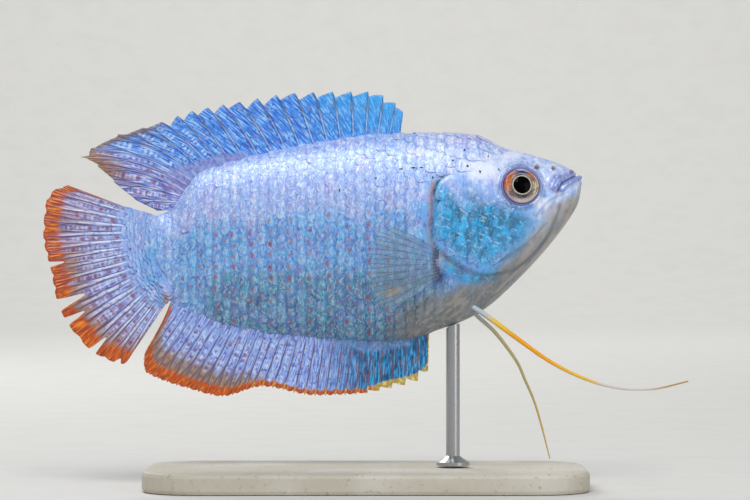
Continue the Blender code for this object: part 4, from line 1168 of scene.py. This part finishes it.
# The kinds of node used here: the type, the output that is read and the settings that are always the same.
PLUS, MINUS, TIMES, LARGER, SIZE, ANGLE, FOLD, WHOLE = (
    ("Math", 0, {"operation": operation})
    for operation in ("ADD", "SUBTRACT", "MULTIPLY", "MAXIMUM", "ABSOLUTE", "ARCTAN2", "PINGPONG", "FLOOR"))
RAMP = ("MapRange", 0, {"interpolation_type": "SMOOTHSTEP"})
MARK = ("Attribute", "Fac", {})
TRIPLE = ("CombineXYZ", 0, {})
LENGTH = ("VectorMath", "Value", {"operation": "LENGTH"})
LAID = ("Mapping", 0, {"vector_type": "TEXTURE"})
NOISE = ("TexNoise", 0, {})
DICE = ("TexWhiteNoise", "Value", {})
OVER = ("Mix", 2, {"data_type": "RGBA"})
PLACE = ("TexCoord", "Object", {})
BUMP = ("Bump", 0, {})


def join(tree, made, sockets):
    """Gives each named or numbered input of a node its value, or a link to another node's output."""
    for socket, value in sockets.items():
        if isinstance(value, bpy.types.NodeSocket):
            tree.links.new(value, made.inputs[socket])
        else:
            made.inputs[socket].default_value = value


def node(tree, kind, *inputs, **settings):
    """The output of a new node. Its inputs are values or other nodes' outputs, in order or by socket."""
    name, output, fixed = kind
    made = tree.nodes.new("ShaderNode" + name)
    for setting, value in {**fixed, **settings}.items():
        setattr(made, setting, value)
    join(tree, made, inputs[0] if inputs and isinstance(inputs[0], dict) else dict(enumerate(inputs)))
    return made.outputs[output]


def lay_over(tree, under, layers):
    """Colours laid over one another, each as far as its share says. A share may be the inputs of a ramp.
    Sockets 0, 6 and 7 of a Mix node set to colour are its share and the colours below and above."""
    for share, colour in layers:
        if isinstance(share, tuple):
            share = node(tree, RAMP, *share)
        under = node(tree, OVER, {0: share, 6: linear(under), 7: linear(colour)})
    return under


def new_material(name, marks=()):
    """A material, its node tree, its shader and an output for each mark that it reads."""
    material = bpy.data.materials.new(name)
    material.use_nodes = True
    tree = material.node_tree
    read = {mark: node(tree, MARK, attribute_name=mark) for mark in marks}
    return material, tree, tree.nodes["Principled BSDF"], read


def ragged(tree, share, noise, amount=1.1, edge=0.2):
    """A mark with its soft edge broken up into flecks, whose own edges are as soft as edge says."""
    torn = node(tree, PLUS, share, node(tree, TIMES, node(tree, MINUS, noise, 0.5), amount))
    return node(tree, RAMP, torn, 0.5 - edge, 0.5 + edge)


def speckle(tree, place, size, detail=2.0, rough=0.55, stretch=(1.0, 1.0, 1.0), turn=0.0):
    """Cloudy noise with patches about size millimetres across, drawn out by stretch along each axis."""
    laid = node(tree, LAID, {"Vector": place, "Rotation": (0.0, turn, 0.0), "Scale": stretch})
    scale = 0.5 / (size * MM)
    return node(tree, NOISE, {"Vector": laid, "Scale": scale, "Detail": detail, "Roughness": rough})


def strokes(tree, first, second, third, scale, detail=2.0):
    """Noise over three marks, which draws strokes that follow a scale, a ray or a ring."""
    place = node(tree, TRIPLE, first, second, third)
    return node(tree, NOISE, {"Vector": place, "Scale": scale, "Detail": detail})


def spot(tree, across, along, noise, tear):
    """How far a point lies from a spot's middle, with the spot's outline torn by noise."""
    torn = node(tree, TIMES, node(tree, MINUS, noise, 0.5), tear)
    return node(tree, LENGTH, node(tree, TRIPLE, across, along, torn))


def cheek_colour(tree, place, patchy):
    """The blotches that also break the cheek's edge, and its colour: a bright blue with upright dark
    flecks and slanting pale glints."""
    blotch = speckle(tree, place, 2.4, 4.0, 0.65)
    upright = speckle(tree, place, 0.42, 3.0, 0.65, (1.0, 1.0, 2.4), math.radians(12.0))
    shine = speckle(tree, place, 0.2, 4.0, 0.65, (1.0, 1.0, 3.0), math.radians(-62.0))
    return blotch, lay_over(tree, "#0088C2", [
        ((blotch, 0.5, 0.38), "#006A90"),
        ((patchy, 0.48, 0.38, 0.0, 0.85), "#035676"),
        ((blotch, 0.52, 0.6), "#00A6E8"),
        ((upright, 0.46, 0.37, 0.0, 0.75), "#134C62"),
        ((patchy, 0.56, 0.68, 0.0, 0.7), "#4AA6EA"),
        ((upright, 0.54, 0.62, 0.0, 0.7), "#00B8F4"),
        ((shine, 0.54, 0.68, 0.0, 0.7), "#B4E2FC")])


def throat_colour(tree, marks, place, patchy, grit):
    """The throat's grey, warmer on the chin, with slanting streaks."""
    stripes = speckle(tree, place, 0.34, 3.0, 0.6, (1.0, 1.0, 5.0), math.radians(38.0))
    return lay_over(tree, "#787F80", [
        (marks["chin"], "#A8A49C"),
        ((stripes, 0.47, 0.62, 0.0, 0.6), "#B4A99E"),
        ((patchy, 0.52, 0.64, 0.0, 0.6), "#8A8E9C"),
        ((stripes, 0.46, 0.34, 0.0, 0.5), "#667078"),
        ((grit, 0.5, 0.62, 0.0, 0.3), "#A9A8BE")])


def skin_colours(tree, marks, place, patchy, fleck, grit):
    """The colour of each region of the skin, laid over one another."""
    bright, dull = (marks["tone"], 0.55, 1.0, 0.0, 0.5), (marks["tone"], 0.42, 0.0, 0.0, 0.5)
    light_patch, dark_fleck, light_fleck = (patchy, 0.5, 0.62), (fleck, 0.45, 0.34), (fleck, 0.54, 0.64)
    flank = lay_over(tree, "#76B1F7", [
        ((fleck, 0.5, 0.62), "#5CBAEE"), (light_patch, "#879FE8"), (dull, "#5A86D2"),
        (dark_fleck, "#4F7ECC"), (bright, "#9CC8F8")])
    pale = lay_over(tree, "#9CBEF8", [
        (light_patch, "#AAB4EE"), (dark_fleck, "#7EA2EA"), (dull, "#8CAAE8"), (light_fleck, "#C4DBFD")])
    frost = lay_over(tree, "#BACEF7", [
        (light_patch, "#C3C4F0"), (dark_fleck, "#8FA6E0"), (light_fleck, "#E2EDFF")])
    deep = lay_over(tree, "#557CA6", [
        ((fleck, 0.49, 0.6), "#3C9FBE"), (light_patch, "#5E7DC2"), (dark_fleck, "#3D5578"),
        (bright, "#7CB4DE")])
    throat = throat_colour(tree, marks, place, patchy, grit)
    blotch, cheek = cheek_colour(tree, place, patchy)
    on_cheek = node(tree, TIMES, ragged(tree, marks["cheek"], blotch, 1.7, 0.4),
                    node(tree, RAMP, fleck, 0.4, 0.5, 0.9, 1.0))
    return lay_over(tree, flank, [
        (ragged(tree, marks["deep"], fleck), deep),
        (ragged(tree, marks["pale"], patchy), pale),
        (ragged(tree, marks["frost"], patchy), frost),
        (node(tree, TIMES, ragged(tree, marks["belly"], fleck, 1.0, 0.35), 0.9), "#76746A"),
        (ragged(tree, marks["throat"], patchy, 1.0, 0.45), throat),
        (on_cheek, cheek)])


def scale_comb(tree, tone, along, across, plate):
    """The light strokes of a scale: those that run along it, and all of them with a fan of others."""
    own = node(tree, TIMES, tone, 60.0)
    comb = strokes(tree, node(tree, TIMES, along, 8.0), node(tree, TIMES, across, 0.9), own, 1.7, 1.0)
    turn = node(tree, ANGLE, across, node(tree, PLUS, along, 0.35))
    fan = strokes(tree, node(tree, TIMES, turn, 11.0), node(tree, TIMES, along, 2.2), own, 1.6)
    streak = node(tree, LARGER, node(tree, RAMP, comb, 0.52, 0.64), node(tree, RAMP, fan, 0.56, 0.7))
    return comb, node(tree, TIMES, streak, plate)


def scale_edge_shade(tree, marks, along, across, dice):
    """How much painted shade darkens a scale's rear edge and flanks, where its step over the next scale
    would be shaded.
    """
    flanks = node(tree, TIMES, node(tree, RAMP, node(tree, SIZE, across), 0.78, 0.98),
                  node(tree, RAMP, along, 0.5, 0.7))
    outline = node(tree, LARGER, node(tree, RAMP, along, 0.88, 1.0), flanks)
    outline = node(tree, TIMES, outline, marks["plate"])
    return node(tree, TIMES, outline, node(tree, LARGER, node(tree, RAMP, dice, 0.0, 1.0, 0.1, 0.5),
                                           node(tree, TIMES, marks["frost"], 0.6)))


def scale_strokes(tree, marks, grit, light):
    """What a scale adds to the colour of the skin: (share, colour) of its strokes, its painted highlight,
    the painted shadow from the scale over it and the painted shade of its rear edge and flanks, then of the
    red-brown dot at its rear edge. The other output is the strokes, which also stand up a little."""
    tone, along, across, plate = (marks[name] for name in ("tone", "along", "across", "plate"))
    dice = node(tree, DICE, {"W": tone}, noise_dimensions="1D")
    comb, streak = scale_comb(tree, tone, along, across, plate)
    # A painted highlight: a pale patch in the visible middle of each scale, where its dome catches the
    # light.
    middle = spot(tree, node(tree, TIMES, node(tree, MINUS, along, 0.76), 6.5),
                  node(tree, TIMES, node(tree, MINUS, across, 0.12), 1.9), grit, 6.0)
    painted_scale_highlight = node(tree, TIMES, node(tree, RAMP, middle, 1.25, 0.25), plate)
    for fade in ((dice, 0.0, 1.0, 0.1, 1.0), (light, 0.0, 1.0, 0.5, 0.12)):
        painted_scale_highlight = node(tree, TIMES, painted_scale_highlight, node(tree, RAMP, *fade))
    bare = node(tree, RAMP, node(tree, LARGER, marks["cheek"], marks["belly"]), 0.0, 1.0, 1.0, 0.2)
    # The pale tint of the light strokes and of the painted highlight, and the dark tint of the dark
    # strokes, the painted shadow and the painted edge shade.
    streak_and_highlight_tint = lay_over(tree, "#B4E4FB", [(light, "#EFF4FF")])
    shade = lay_over(tree, "#4870B4", [(light, "#849CE6")])
    drawn = [(node(tree, TIMES, streak, 0.5), streak_and_highlight_tint),
             (node(tree, TIMES, node(tree, RAMP, comb, 0.46, 0.36, 0.0, 0.45), plate), shade),
             (painted_scale_highlight, streak_and_highlight_tint),
             # Painted shadow across the front of a scale, under the rear edge of the scale that lies over
             # it.
             (node(tree, TIMES, node(tree, RAMP, along, 0.67, 0.58, 0.0, 0.25), marks["cover"]), shade),
             (scale_edge_shade(tree, marks, along, across, dice), shade)]
    dot = spot(tree, node(tree, TIMES, node(tree, MINUS, along, 0.85), 7.5),
               node(tree, TIMES, across, 1.5), grit, 5.0)
    dotted = node(tree, TIMES, node(tree, RAMP, dot, 1.3, 0.15, 0.0, 0.95), marks["dot"])
    layers = [(node(tree, TIMES, share, bare), colour) for share, colour in drawn]
    return layers + [(dotted, lay_over(tree, "#8C3E50", [(light, "#92669A")]))], streak


def guanine_coat():
    """Living fish skin: guanine crystals under a wet clear layer, which give the eye a pearly blue that
    breaks into turquoise and lilac flecks. In life the flecks are under 0.1 mm; they are drawn 0.2 to
    0.4 mm wide to show."""
    material, tree, surface, marks = new_material("guanine_scale_wet", SKIN_MARKS)
    place = node(tree, PLACE)
    patchy = speckle(tree, place, 1.3, 3.0, 0.6)
    fleck = speckle(tree, place, 0.42, 3.0, 0.65, (1.0, 1.0, 1.7))
    grit = speckle(tree, place, 0.2, 2.0, 0.6, (1.0, 1.0, 1.6))
    layers, streak = scale_strokes(tree, marks, grit, node(tree, RAMP, marks["pale"], 0.2, 0.9))
    lilac = lay_over(tree, "#7B8ED0", [((fleck, 0.48, 0.6), "#ABC2F4"), ((grit, 0.45, 0.36), "#5F659E")])
    rust = lay_over(tree, "#8E5C48", [((grit, 0.46, 0.6), "#B5795A")])
    colour = lay_over(tree, skin_colours(tree, marks, place, patchy, fleck, grit), layers + [
        (node(tree, TIMES, ragged(tree, marks["lilac"], fleck, 1.0), 0.8), lilac),
        # Painted sheen: white patches round the eye and a pale line on the lower lip's fold.
        (node(tree, TIMES, ragged(tree, marks["painted_sheen"], fleck, 1.2, 0.35), 0.95), "#E2EAFF"),
        # Painted shade in the creases and grooves of the head.
        (marks["fold"], "#5F6878"),
        (node(tree, TIMES, marks["olive"], 0.85), "#8C8558"),
        (node(tree, TIMES, marks["rust"], 0.85), rust),
        (marks["navy"], "#2A3672"),
        # Painted shade in the mouth's cut, the nostrils, behind the gill cover's edge and round the eye's
        # socket, and a dark spot on the snout.
        (marks["gap_shade_and_spot"], "#1D1D2B")])
    rough = node(tree, TIMES, grit, node(tree, RAMP, marks["cheek"], 0.0, 1.0, 0.6, 0.25))
    height = node(tree, PLUS, rough, node(tree, TIMES, streak, 0.5))
    join(tree, surface, {
        "Base Color": colour,
        "Normal": node(tree, BUMP, {"Height": height, "Strength": 0.5, "Distance": 0.00007}),
        "Roughness": node(tree, RAMP, grit, 0.35, 0.65, 0.28, 0.48),
        "Metallic": 0.15,
        "Coat Weight": 0.3,
        "Coat Roughness": 0.15})
    return material


# What sets the fins' webs apart. The zone is the lobe of the dorsal fin, the front of the anal fin and
# the outer part of the tail fin. The widths and places of veins and lines are shares of the gap between
# two rays, and the pearls' rows are counted out to the tips.
DORSAL_LOOK = {
    "web": "#4089EA", "bright": "#9AD0FF", "dark": "#2860C6", "cyan": "#34B4F8", "zone": "#7688DC",
    "zone_bright": "#CCD8FE", "zone_dark": "#5C66B4", "vein": "#B4D0FA", "line": "#38344E",
    "near": "#8888C4", "pearl": "#C6E0FF", "amber": "#A06E3C", "amber_bright": "#C08C4C",
    "skew": -1.6, "weave": 3.0, "vein_width": 0.07, "vein_share": 0.6, "zone_vein": 0.5,
    "line_place": 0.085, "line_width": 0.065, "line_share": 0.5, "pearl_share": 0.9,
    "pearl_rows": 18.0, "pearl_slim": 4.6}
ANAL_LOOK = {
    "web": "#84A4EE", "bright": "#C0D8FF", "dark": "#626CBC", "cyan": "#3878BC", "zone": "#0A6CA4",
    "zone_bright": "#34A8E8", "zone_dark": "#0E426C", "vein": "#A8C0F8", "line": "#5C4A62",
    "near": "#5A8AC4", "pearl": "#CCE0FF", "amber": "#8C7238", "amber_bright": "#C4903A",
    "skew": 0.0, "weave": 2.0, "vein_width": 0.3, "vein_share": 0.12, "zone_vein": 0.2,
    "line_place": 0.0, "line_width": 0.11, "line_share": 0.9, "pearl_share": 0.85,
    "pearl_rows": 12.0, "pearl_slim": 3.4}
TAIL_LOOK = {
    "web": "#8FA2E4", "bright": "#C8DAFF", "dark": "#6E6CB0", "cyan": "#93A4E4", "zone": "#8C82B8",
    "zone_bright": "#BCBCF2", "zone_dark": "#6A6098", "vein": "#E2EEFF", "line": "#4C4262",
    "near": "#90B8F6", "pearl": "#D2E4FF", "amber": "#94704C", "amber_bright": "#B98C5A",
    "skew": 0.0, "weave": 4.0, "vein_width": 0.14, "vein_share": 0.7, "zone_vein": 1.0,
    "line_place": 0.2, "line_width": 0.065, "line_share": 0.8, "pearl_share": 0.7,
    "pearl_rows": 24.0, "pearl_slim": 4.6}


def fin_pearls(tree, marks, off, fleck, look):
    """Pearly dots in rows across the webs, one in each gap between rays, each as bright as chance gives."""
    row = node(tree, TIMES, marks["level"], look["pearl_rows"])
    gap = node(tree, WHOLE, marks["ray"])
    cell = node(tree, DICE, node(tree, TRIPLE, gap, node(tree, WHOLE, row), 7.0))
    far = spot(tree, node(tree, TIMES, node(tree, MINUS, 0.5, off), look["pearl_slim"]),
               node(tree, TIMES, node(tree, MINUS, 0.5, node(tree, FOLD, row, 0.5)), 2.6), fleck, 6.0)
    pearls = node(tree, TIMES, node(tree, RAMP, far, 1.35, 0.15), node(tree, RAMP, cell, 0.05, 0.6))
    return node(tree, TIMES, pearls, node(tree, RAMP, marks["pearl"], 0.0, 1.0, 0.0, look["pearl_share"]))


def fin_lines(tree, marks, off, fleck, look):
    """The light vein along each ray, its pale colour partly a painted highlight, the dark lines beside it
    and those along its branches.
    """
    share, zone, width = marks["share"], marks["zone"], look["line_width"]
    vein = node(tree, RAMP, off, look["vein_width"], 0.3 * look["vein_width"], 0.0, look["vein_share"])
    in_zone = (zone, 0.0, 1.0, 1.0, look["zone_vein"])
    for fade in ((share, 0.9, 0.6), (fleck, 0.36, 0.52, 0.35, 1.0), in_zone):
        vein = node(tree, TIMES, vein, node(tree, RAMP, *fade))
    beside = node(tree, SIZE, node(tree, MINUS, off, look["line_place"]))
    inner = node(tree, RAMP, beside, width, 0.2 * width)
    for fade in ((share, 0.9, 0.7), (share, 0.1, 0.26), (zone, 0.0, 1.0, look["line_share"], 0.85)):
        inner = node(tree, TIMES, inner, node(tree, RAMP, *fade))
    branch = node(tree, SIZE, node(tree, MINUS, off, marks["fork"]))
    branch = node(tree, SIZE, node(tree, MINUS, branch, marks["twig"]))
    outer = node(tree, TIMES, node(tree, RAMP, branch, 0.8 * width, 0.2 * width),
                 node(tree, RAMP, share, 0.5, 0.72, 0.0, 0.75))
    return vein, inner, outer


def fin_grounds(tree, marks, grain, fleck, look):
    """The colours of the web, of its zone and of the strip along the body."""
    web = lay_over(tree, look["web"], [
        ((grain, 0.47, 0.38), look["dark"]),
        ((grain, 0.5, 0.6, 0.0, 0.85), look["bright"]),
        ((fleck, 0.44, 0.36), look["dark"]),
        (node(tree, TIMES, marks["cyan"], 0.7), look["cyan"])])
    zone = lay_over(tree, look["zone"], [
        ((grain, 0.48, 0.38), look["zone_dark"]),
        ((fleck, 0.46, 0.36), look["zone_dark"]),
        ((grain, 0.51, 0.63), look["zone_bright"])])
    near = lay_over(tree, look["near"], [
        ((fleck, 0.5, 0.62, 0.0, 0.35), look["bright"]),
        ((fleck, 0.46, 0.38, 0.0, 0.5), look["dark"])])
    return web, zone, near


def fin_web(name, look):
    """Fin membrane: thin wet skin over bony rays, with flecks of guanine between them, so that it looks
    half clear at its edge and shines along the rays."""
    places = ("share", "level", "ray", "fork", "twig")
    material, tree, surface, marks = new_material(name, places + FIN_MARKS)
    share, ray, zone = marks["share"], marks["ray"], marks["zone"]
    fleck = speckle(tree, node(tree, PLACE), 0.3, 3.0, 0.6)
    lean = node(tree, TIMES, node(tree, RAMP, zone, 0.0, 0.3, look["skew"], 0.0), share)
    grain, fine, fringe = (
        strokes(tree, node(tree, TIMES, across, often), node(tree, TIMES, share, far), zone, 1.6, detail)
        for across, often, far, detail in (
            (node(tree, PLUS, ray, lean), 5.0, 3.4, 3.0), (ray, 7.0, 5.0, 2.0),
            (ray, look["weave"], 4.0, 3.0)))
    off = node(tree, FOLD, ray, 0.5)
    vein, inner_line, outer_line = fin_lines(tree, marks, off, fleck, look)
    web, beyond, near = fin_grounds(tree, marks, grain, fleck, look)
    ember = lay_over(tree, "#B04208", [
        (node(tree, TIMES, marks["glow"], 0.7), "#CE5606"), ((fine, 0.5, 0.4, 0.0, 0.8), "#84300A"),
        ((fringe, 0.52, 0.66), "#E07A18"), ((fine, 0.56, 0.66, 0.0, 0.5), "#F09A3C")])
    brass = lay_over(tree, "#BFA03A", [((fleck, 0.5, 0.6), "#F2DE7A")])
    amber = lay_over(tree, look["amber"], [((fine, 0.5, 0.62), look["amber_bright"])])
    smoke = lay_over(tree, "#80664C", [((fleck, 0.52, 0.62), "#A85C2A")])
    colour = lay_over(tree, web, [
        (zone, beyond),
        (node(tree, TIMES, ragged(tree, marks["smoke"], fine, 0.8, 0.45), 0.8), smoke),
        (fin_pearls(tree, marks, off, fleck, look), look["pearl"]),
        (node(tree, TIMES, ragged(tree, marks["rust"], fringe, 1.3, 0.35), 0.85), amber),
        # The ray's pale colour with a painted highlight along it.
        (vein, look["vein"]),
        (inner_line, look["line"]),
        (outer_line, look["line"]),
        (node(tree, TIMES, ragged(tree, marks["near"], grain, 0.7), 0.75), near),
        (node(tree, TIMES, ragged(tree, marks["maroon"], fleck, 0.9, 0.32), 0.8), "#82405E"),
        (ragged(tree, marks["ember"], fringe, 1.5, 0.5), ember),
        (node(tree, TIMES, ragged(tree, marks["straw"], fine, 0.6), 0.85), brass)])
    join(tree, surface, {
        "Base Color": colour,
        "Normal": node(tree, BUMP, {"Height": grain, "Strength": 0.4, "Distance": 0.00007}),
        "Alpha": node(tree, RAMP, marks["smoke"], 0.4, 1.0, 1.0, 0.7),
        "Roughness": 0.36,
        "Coat Weight": 0.25,
        "Coat Roughness": 0.2})
    return material


def clear_web():
    """The pectoral's membrane: bare wet skin with no guanine in it, so that the flank shows through between
    its fine rays."""
    material, tree, surface, marks = new_material(
        "clear_fin_membrane", ("near", "straw", "ray", "fork", "smoke"))
    branch = node(tree, SIZE, node(tree, MINUS, node(tree, FOLD, marks["ray"], 0.5), marks["fork"]))
    line = node(tree, RAMP, branch, 0.07, 0.015)
    veil = node(tree, RAMP, line, 0.0, 1.0, 0.2, 0.5)
    veil = node(tree, LARGER, veil, node(tree, TIMES, marks["straw"], 0.5))
    veil = node(tree, TIMES, veil, node(tree, RAMP, marks["smoke"], 0.0, 1.0, 1.0, 0.45))
    join(tree, surface, {
        "Base Color": lay_over(tree, "#8FA9BC", [
            (node(tree, TIMES, line, 0.85), "#434C58"),
            (node(tree, TIMES, marks["straw"], 0.7), "#B4924E"),
            (marks["near"], "#4C5474")]),
        "Alpha": node(tree, LARGER, marks["near"], veil),
        "Roughness": 0.3})
    return material


def pore_pigment():
    """Melanin in a small pit of the skin: nearly black and matt."""
    material, tree, surface, _ = new_material("pore_pigment")
    join(tree, surface, {
        "Base Color": lay_over(tree, "#22263C", [(speckle(tree, node(tree, PLACE), 0.1), "#3A4466")]),
        "Roughness": 0.7})
    return material


def iris_and_cornea():
    """A living eye: a coloured iris of fine spokes round a black pupil, under a clear wet cornea that
    gives it one hard highlight."""
    material, tree, surface, marks = new_material("iris_under_cornea", EYE_MARKS)
    radius, cream, ember = marks["radius"], marks["cream"], marks["ember"]
    thread, ripple = (
        strokes(tree, node(tree, TIMES, marks["east"], often), node(tree, TIMES, marks["north"], often),
                node(tree, TIMES, radius, out), scale, detail)
        for often, out, scale, detail in ((5.0, 3.0, 2.2, 3.0), (1.6, 5.0, 1.6, 2.0)))
    ring = node(tree, TIMES, node(tree, RAMP, radius, 1.27, 1.31),
                node(tree, RAMP, radius, 1.47, 1.36, 0.0, 0.9))
    edge = node(tree, SIZE, node(tree, MINUS, radius, 2.6))
    colour = lay_over(tree, "#6A5A58", [
        ((thread, 0.45, 0.6), "#B6A596"),
        (node(tree, TIMES, cream, node(tree, RAMP, thread, 0.35, 0.5, 0.4, 1.0)), "#DECDA2"),
        (node(tree, TIMES, cream, node(tree, RAMP, ripple, 0.52, 0.6)), "#5A3E22"),
        # Painted highlight arcs at the top of the iris.
        (marks["painted_glint_arc"], "#AFC6F6"),
        (node(tree, TIMES, ember, node(tree, RAMP, thread, 0.3, 0.5, 0.55, 1.0)), "#DA7416"),
        (node(tree, TIMES, ember, node(tree, RAMP, radius, 2.15, 2.45, 0.0, 0.7)), "#A23A3A"),
        ((thread, 0.54, 0.64, 0.0, 0.5), "#40241C"),
        ((ripple, 0.56, 0.66, 0.0, 0.7), "#2C2438"),
        ((ripple, 0.42, 0.34, 0.0, 0.5), "#DDD6E6"),
        (node(tree, TIMES, marks["bone"], node(tree, RAMP, thread, 0.4, 0.62, 1.0, 0.5)), "#DACDD6"),
        (marks["shade"], "#18203E"),
        ((radius, 2.56, 2.74), "#8592CC"),
        ((edge, 0.09, 0.02, 0.0, 0.85), "#2A2A48"),
        (node(tree, TIMES, ring, node(tree, RAMP, thread, 0.6, 0.48, 0.3, 1.0)), "#CFD0BA"),
        (node(tree, TIMES, node(tree, RAMP, radius, 1.29, 1.25), marks["front"]), "#030304")])
    join(tree, surface, {
        "Base Color": colour,
        "Roughness": 0.5,
        "Specular IOR Level": 0.0,  # the fluid behind the cornea matches its index
        "Coat Weight": 0.15,
        "Coat IOR": 1.376,
        "Coat Roughness": 0.03})
    return material


def feeler_thread():
    """A single soft fin ray: smooth wet skin, milky at its root and clear yellow further out."""
    material, tree, surface, marks = new_material("feeler_wet_skin", ("share", "far"))
    share = marks["share"]
    near = lay_over(tree, "#B2BFCB", [
        ((share, 0.12, 0.19), "#E9C436"), ((share, 0.19, 0.28), "#F0A512"), ((share, 0.4, 0.56), "#E9BC38"),
        ((share, 0.6, 0.68), "#CFCCC8"), ((share, 0.8, 0.94), "#B0914C")])
    far = lay_over(tree, "#AEB1AC", [((share, 0.14, 0.3), "#B3A66E"), ((share, 0.55, 0.8), "#C4A64C")])
    join(tree, surface, {
        "Base Color": lay_over(tree, near, [(marks["far"], far)]),
        "Roughness": 0.4,
        "Subsurface Weight": 0.2,
        "Subsurface Scale": 0.0004})
    return material


def honed_limestone():
    """Pale limestone, sawn and honed flat: matt, with faint cloudy veins and tiny grains."""
    material, tree, surface, _ = new_material("honed_limestone")
    place = node(tree, PLACE)
    cloud, grain = speckle(tree, place, 9.0, 5.0, 0.6), speckle(tree, place, 0.5, 3.0, 0.6)
    join(tree, surface, {
        "Base Color": lay_over(tree, "#BEB7A8", [
            ((cloud, 0.4, 0.7), "#CFCABF"), ((grain, 0.58, 0.72), "#A59C8A")]),
        "Normal": node(tree, BUMP, {"Height": grain, "Strength": 0.25, "Distance": 0.00008}),
        "Roughness": 0.62})
    return material


def turned_steel():
    """Stainless steel rod, turned and brushed, which gives soft rings of light round it."""
    material, tree, surface, _ = new_material("turned_stainless_steel")
    rings = speckle(tree, node(tree, PLACE), 0.12, 2.0, 0.5, (0.08, 0.08, 1.0))
    join(tree, surface, {
        "Roughness": node(tree, RAMP, rings, 0.3, 0.7, 0.24, 0.36),
        "Base Color": linear("#B4B6B8"),
        "Metallic": 1.0})
    return material


def studio_paper():
    """Matt seamless paper for the floor, with fibre clouds so faint that it stays plain."""
    material, tree, surface, _ = new_material("studio_paper")
    fibre = speckle(tree, node(tree, PLACE), 6.0, 3.0, 0.6)
    join(tree, surface, {
        "Base Color": lay_over(tree, "#DAD9D5", [((fibre, 0.4, 0.7), "#D7D6D2")]),
        "Roughness": 0.9})
    return material


def dress_node(name, material):
    """Gives a solid that stays in view its material."""
    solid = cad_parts[name]
    solid.data.materials.clear()
    solid.data.materials.append(material)


def light(name, place, aim, size, power):
    """A square softbox."""
    lamp = bpy.data.lights.new(name, "AREA")
    lamp.size = size * MM
    lamp.energy = power
    obj = bpy.data.objects.new(name, lamp)
    obj.location = Vector(place) * MM
    obj.rotation_euler = (Vector(aim) - Vector(place)).to_track_quat("-Z", "Y").to_euler()
    bpy.context.scene.collection.objects.link(obj)


def build_floor():
    """A round pale floor that curves up all round into a low backdrop."""
    turn = np.linspace(0.0, 0.5 * math.pi, FLOOR_STEPS)
    out = np.concatenate([[0.0, FLOOR_MIDDLE], FLOOR_FLAT + FLOOR_CURVE * np.sin(turn)])[:, None]
    up = np.concatenate([[0.0, 0.0], FLOOR_CURVE * (1 - np.cos(turn))])[:, None]
    angle = 2 * math.pi * np.arange(FLOOR_SIDES) / FLOOR_SIDES
    points = np.stack([out * np.cos(angle), out * np.sin(angle), up + 0 * angle], -1).reshape(-1, 3)
    faces = turned(grid_faces(len(out), FLOOR_SIDES, closed=True))[FLOOR_SIDES:].tolist()
    faces.append(list(range(FLOOR_SIDES, 2 * FLOOR_SIDES)))
    mesh = bpy.data.meshes.new("studio_floor")
    mesh.from_pydata((points * MM).tolist(), [], faces)
    mesh.shade_smooth()
    mesh.materials.append(studio_paper())
    floor = bpy.data.objects.new("studio_floor", mesh)
    bpy.context.scene.collection.objects.link(floor)


def build_studio():
    """The air, the floor, the softboxes and the camera."""
    scene = bpy.context.scene
    scene.world = bpy.data.worlds.new("studio")
    scene.world.use_nodes = True
    air = scene.world.node_tree
    join(air, air.nodes["Background"], {"Color": linear(AIR_COLOUR), "Strength": AIR_STRENGTH})
    build_floor()
    for softbox in LIGHTS:
        light(*softbox)
    camera = bpy.data.objects.new("camera", bpy.data.cameras.new("camera"))
    camera.data.lens = CAMERA_LENS
    camera.data.sensor_width = CAMERA_SENSOR
    camera.data.clip_start, camera.data.clip_end = CAMERA_CLIP
    camera.location = Vector(CAMERA_PLACE) * MM
    camera.rotation_euler = (math.pi / 2, 0.0, 0.0)
    scene.collection.objects.link(camera)
    bpy.context.scene.camera = camera
    scene.view_settings.view_transform = "Standard"


def main():
    """Dresses the fish and its stand, and sets up the studio."""
    build_studio()
    coat = guanine_coat()
    build_skin(coat)
    build_scales(-1.0, "scales_right", coat)
    build_scales(1.0, "scales_left", coat)
    build_pores(pore_pigment())
    iris = iris_and_cornea()
    build_eye(-1, "eyeball_right", "eye_right", iris)
    build_eye(1, "eyeball_left", "eye_left", iris)
    build_dorsal(fin_web("dorsal_fin_membrane", DORSAL_LOOK))
    build_anal(fin_web("anal_fin_membrane", ANAL_LOOK))
    build_tail(fin_web("tail_fin_membrane", TAIL_LOOK))
    build_pectorals(clear_web())
    thread = feeler_thread()
    build_feeler(RIGHT_FEELER, "feeler_right", "pelvic_fin_right", thread, 0.0)
    build_feeler(LEFT_FEELER, "feeler_left", "pelvic_fin_left", thread, 1.0)
    dress_node("stand_base", honed_limestone())
    dress_node("stand_rod", turned_steel())


main()
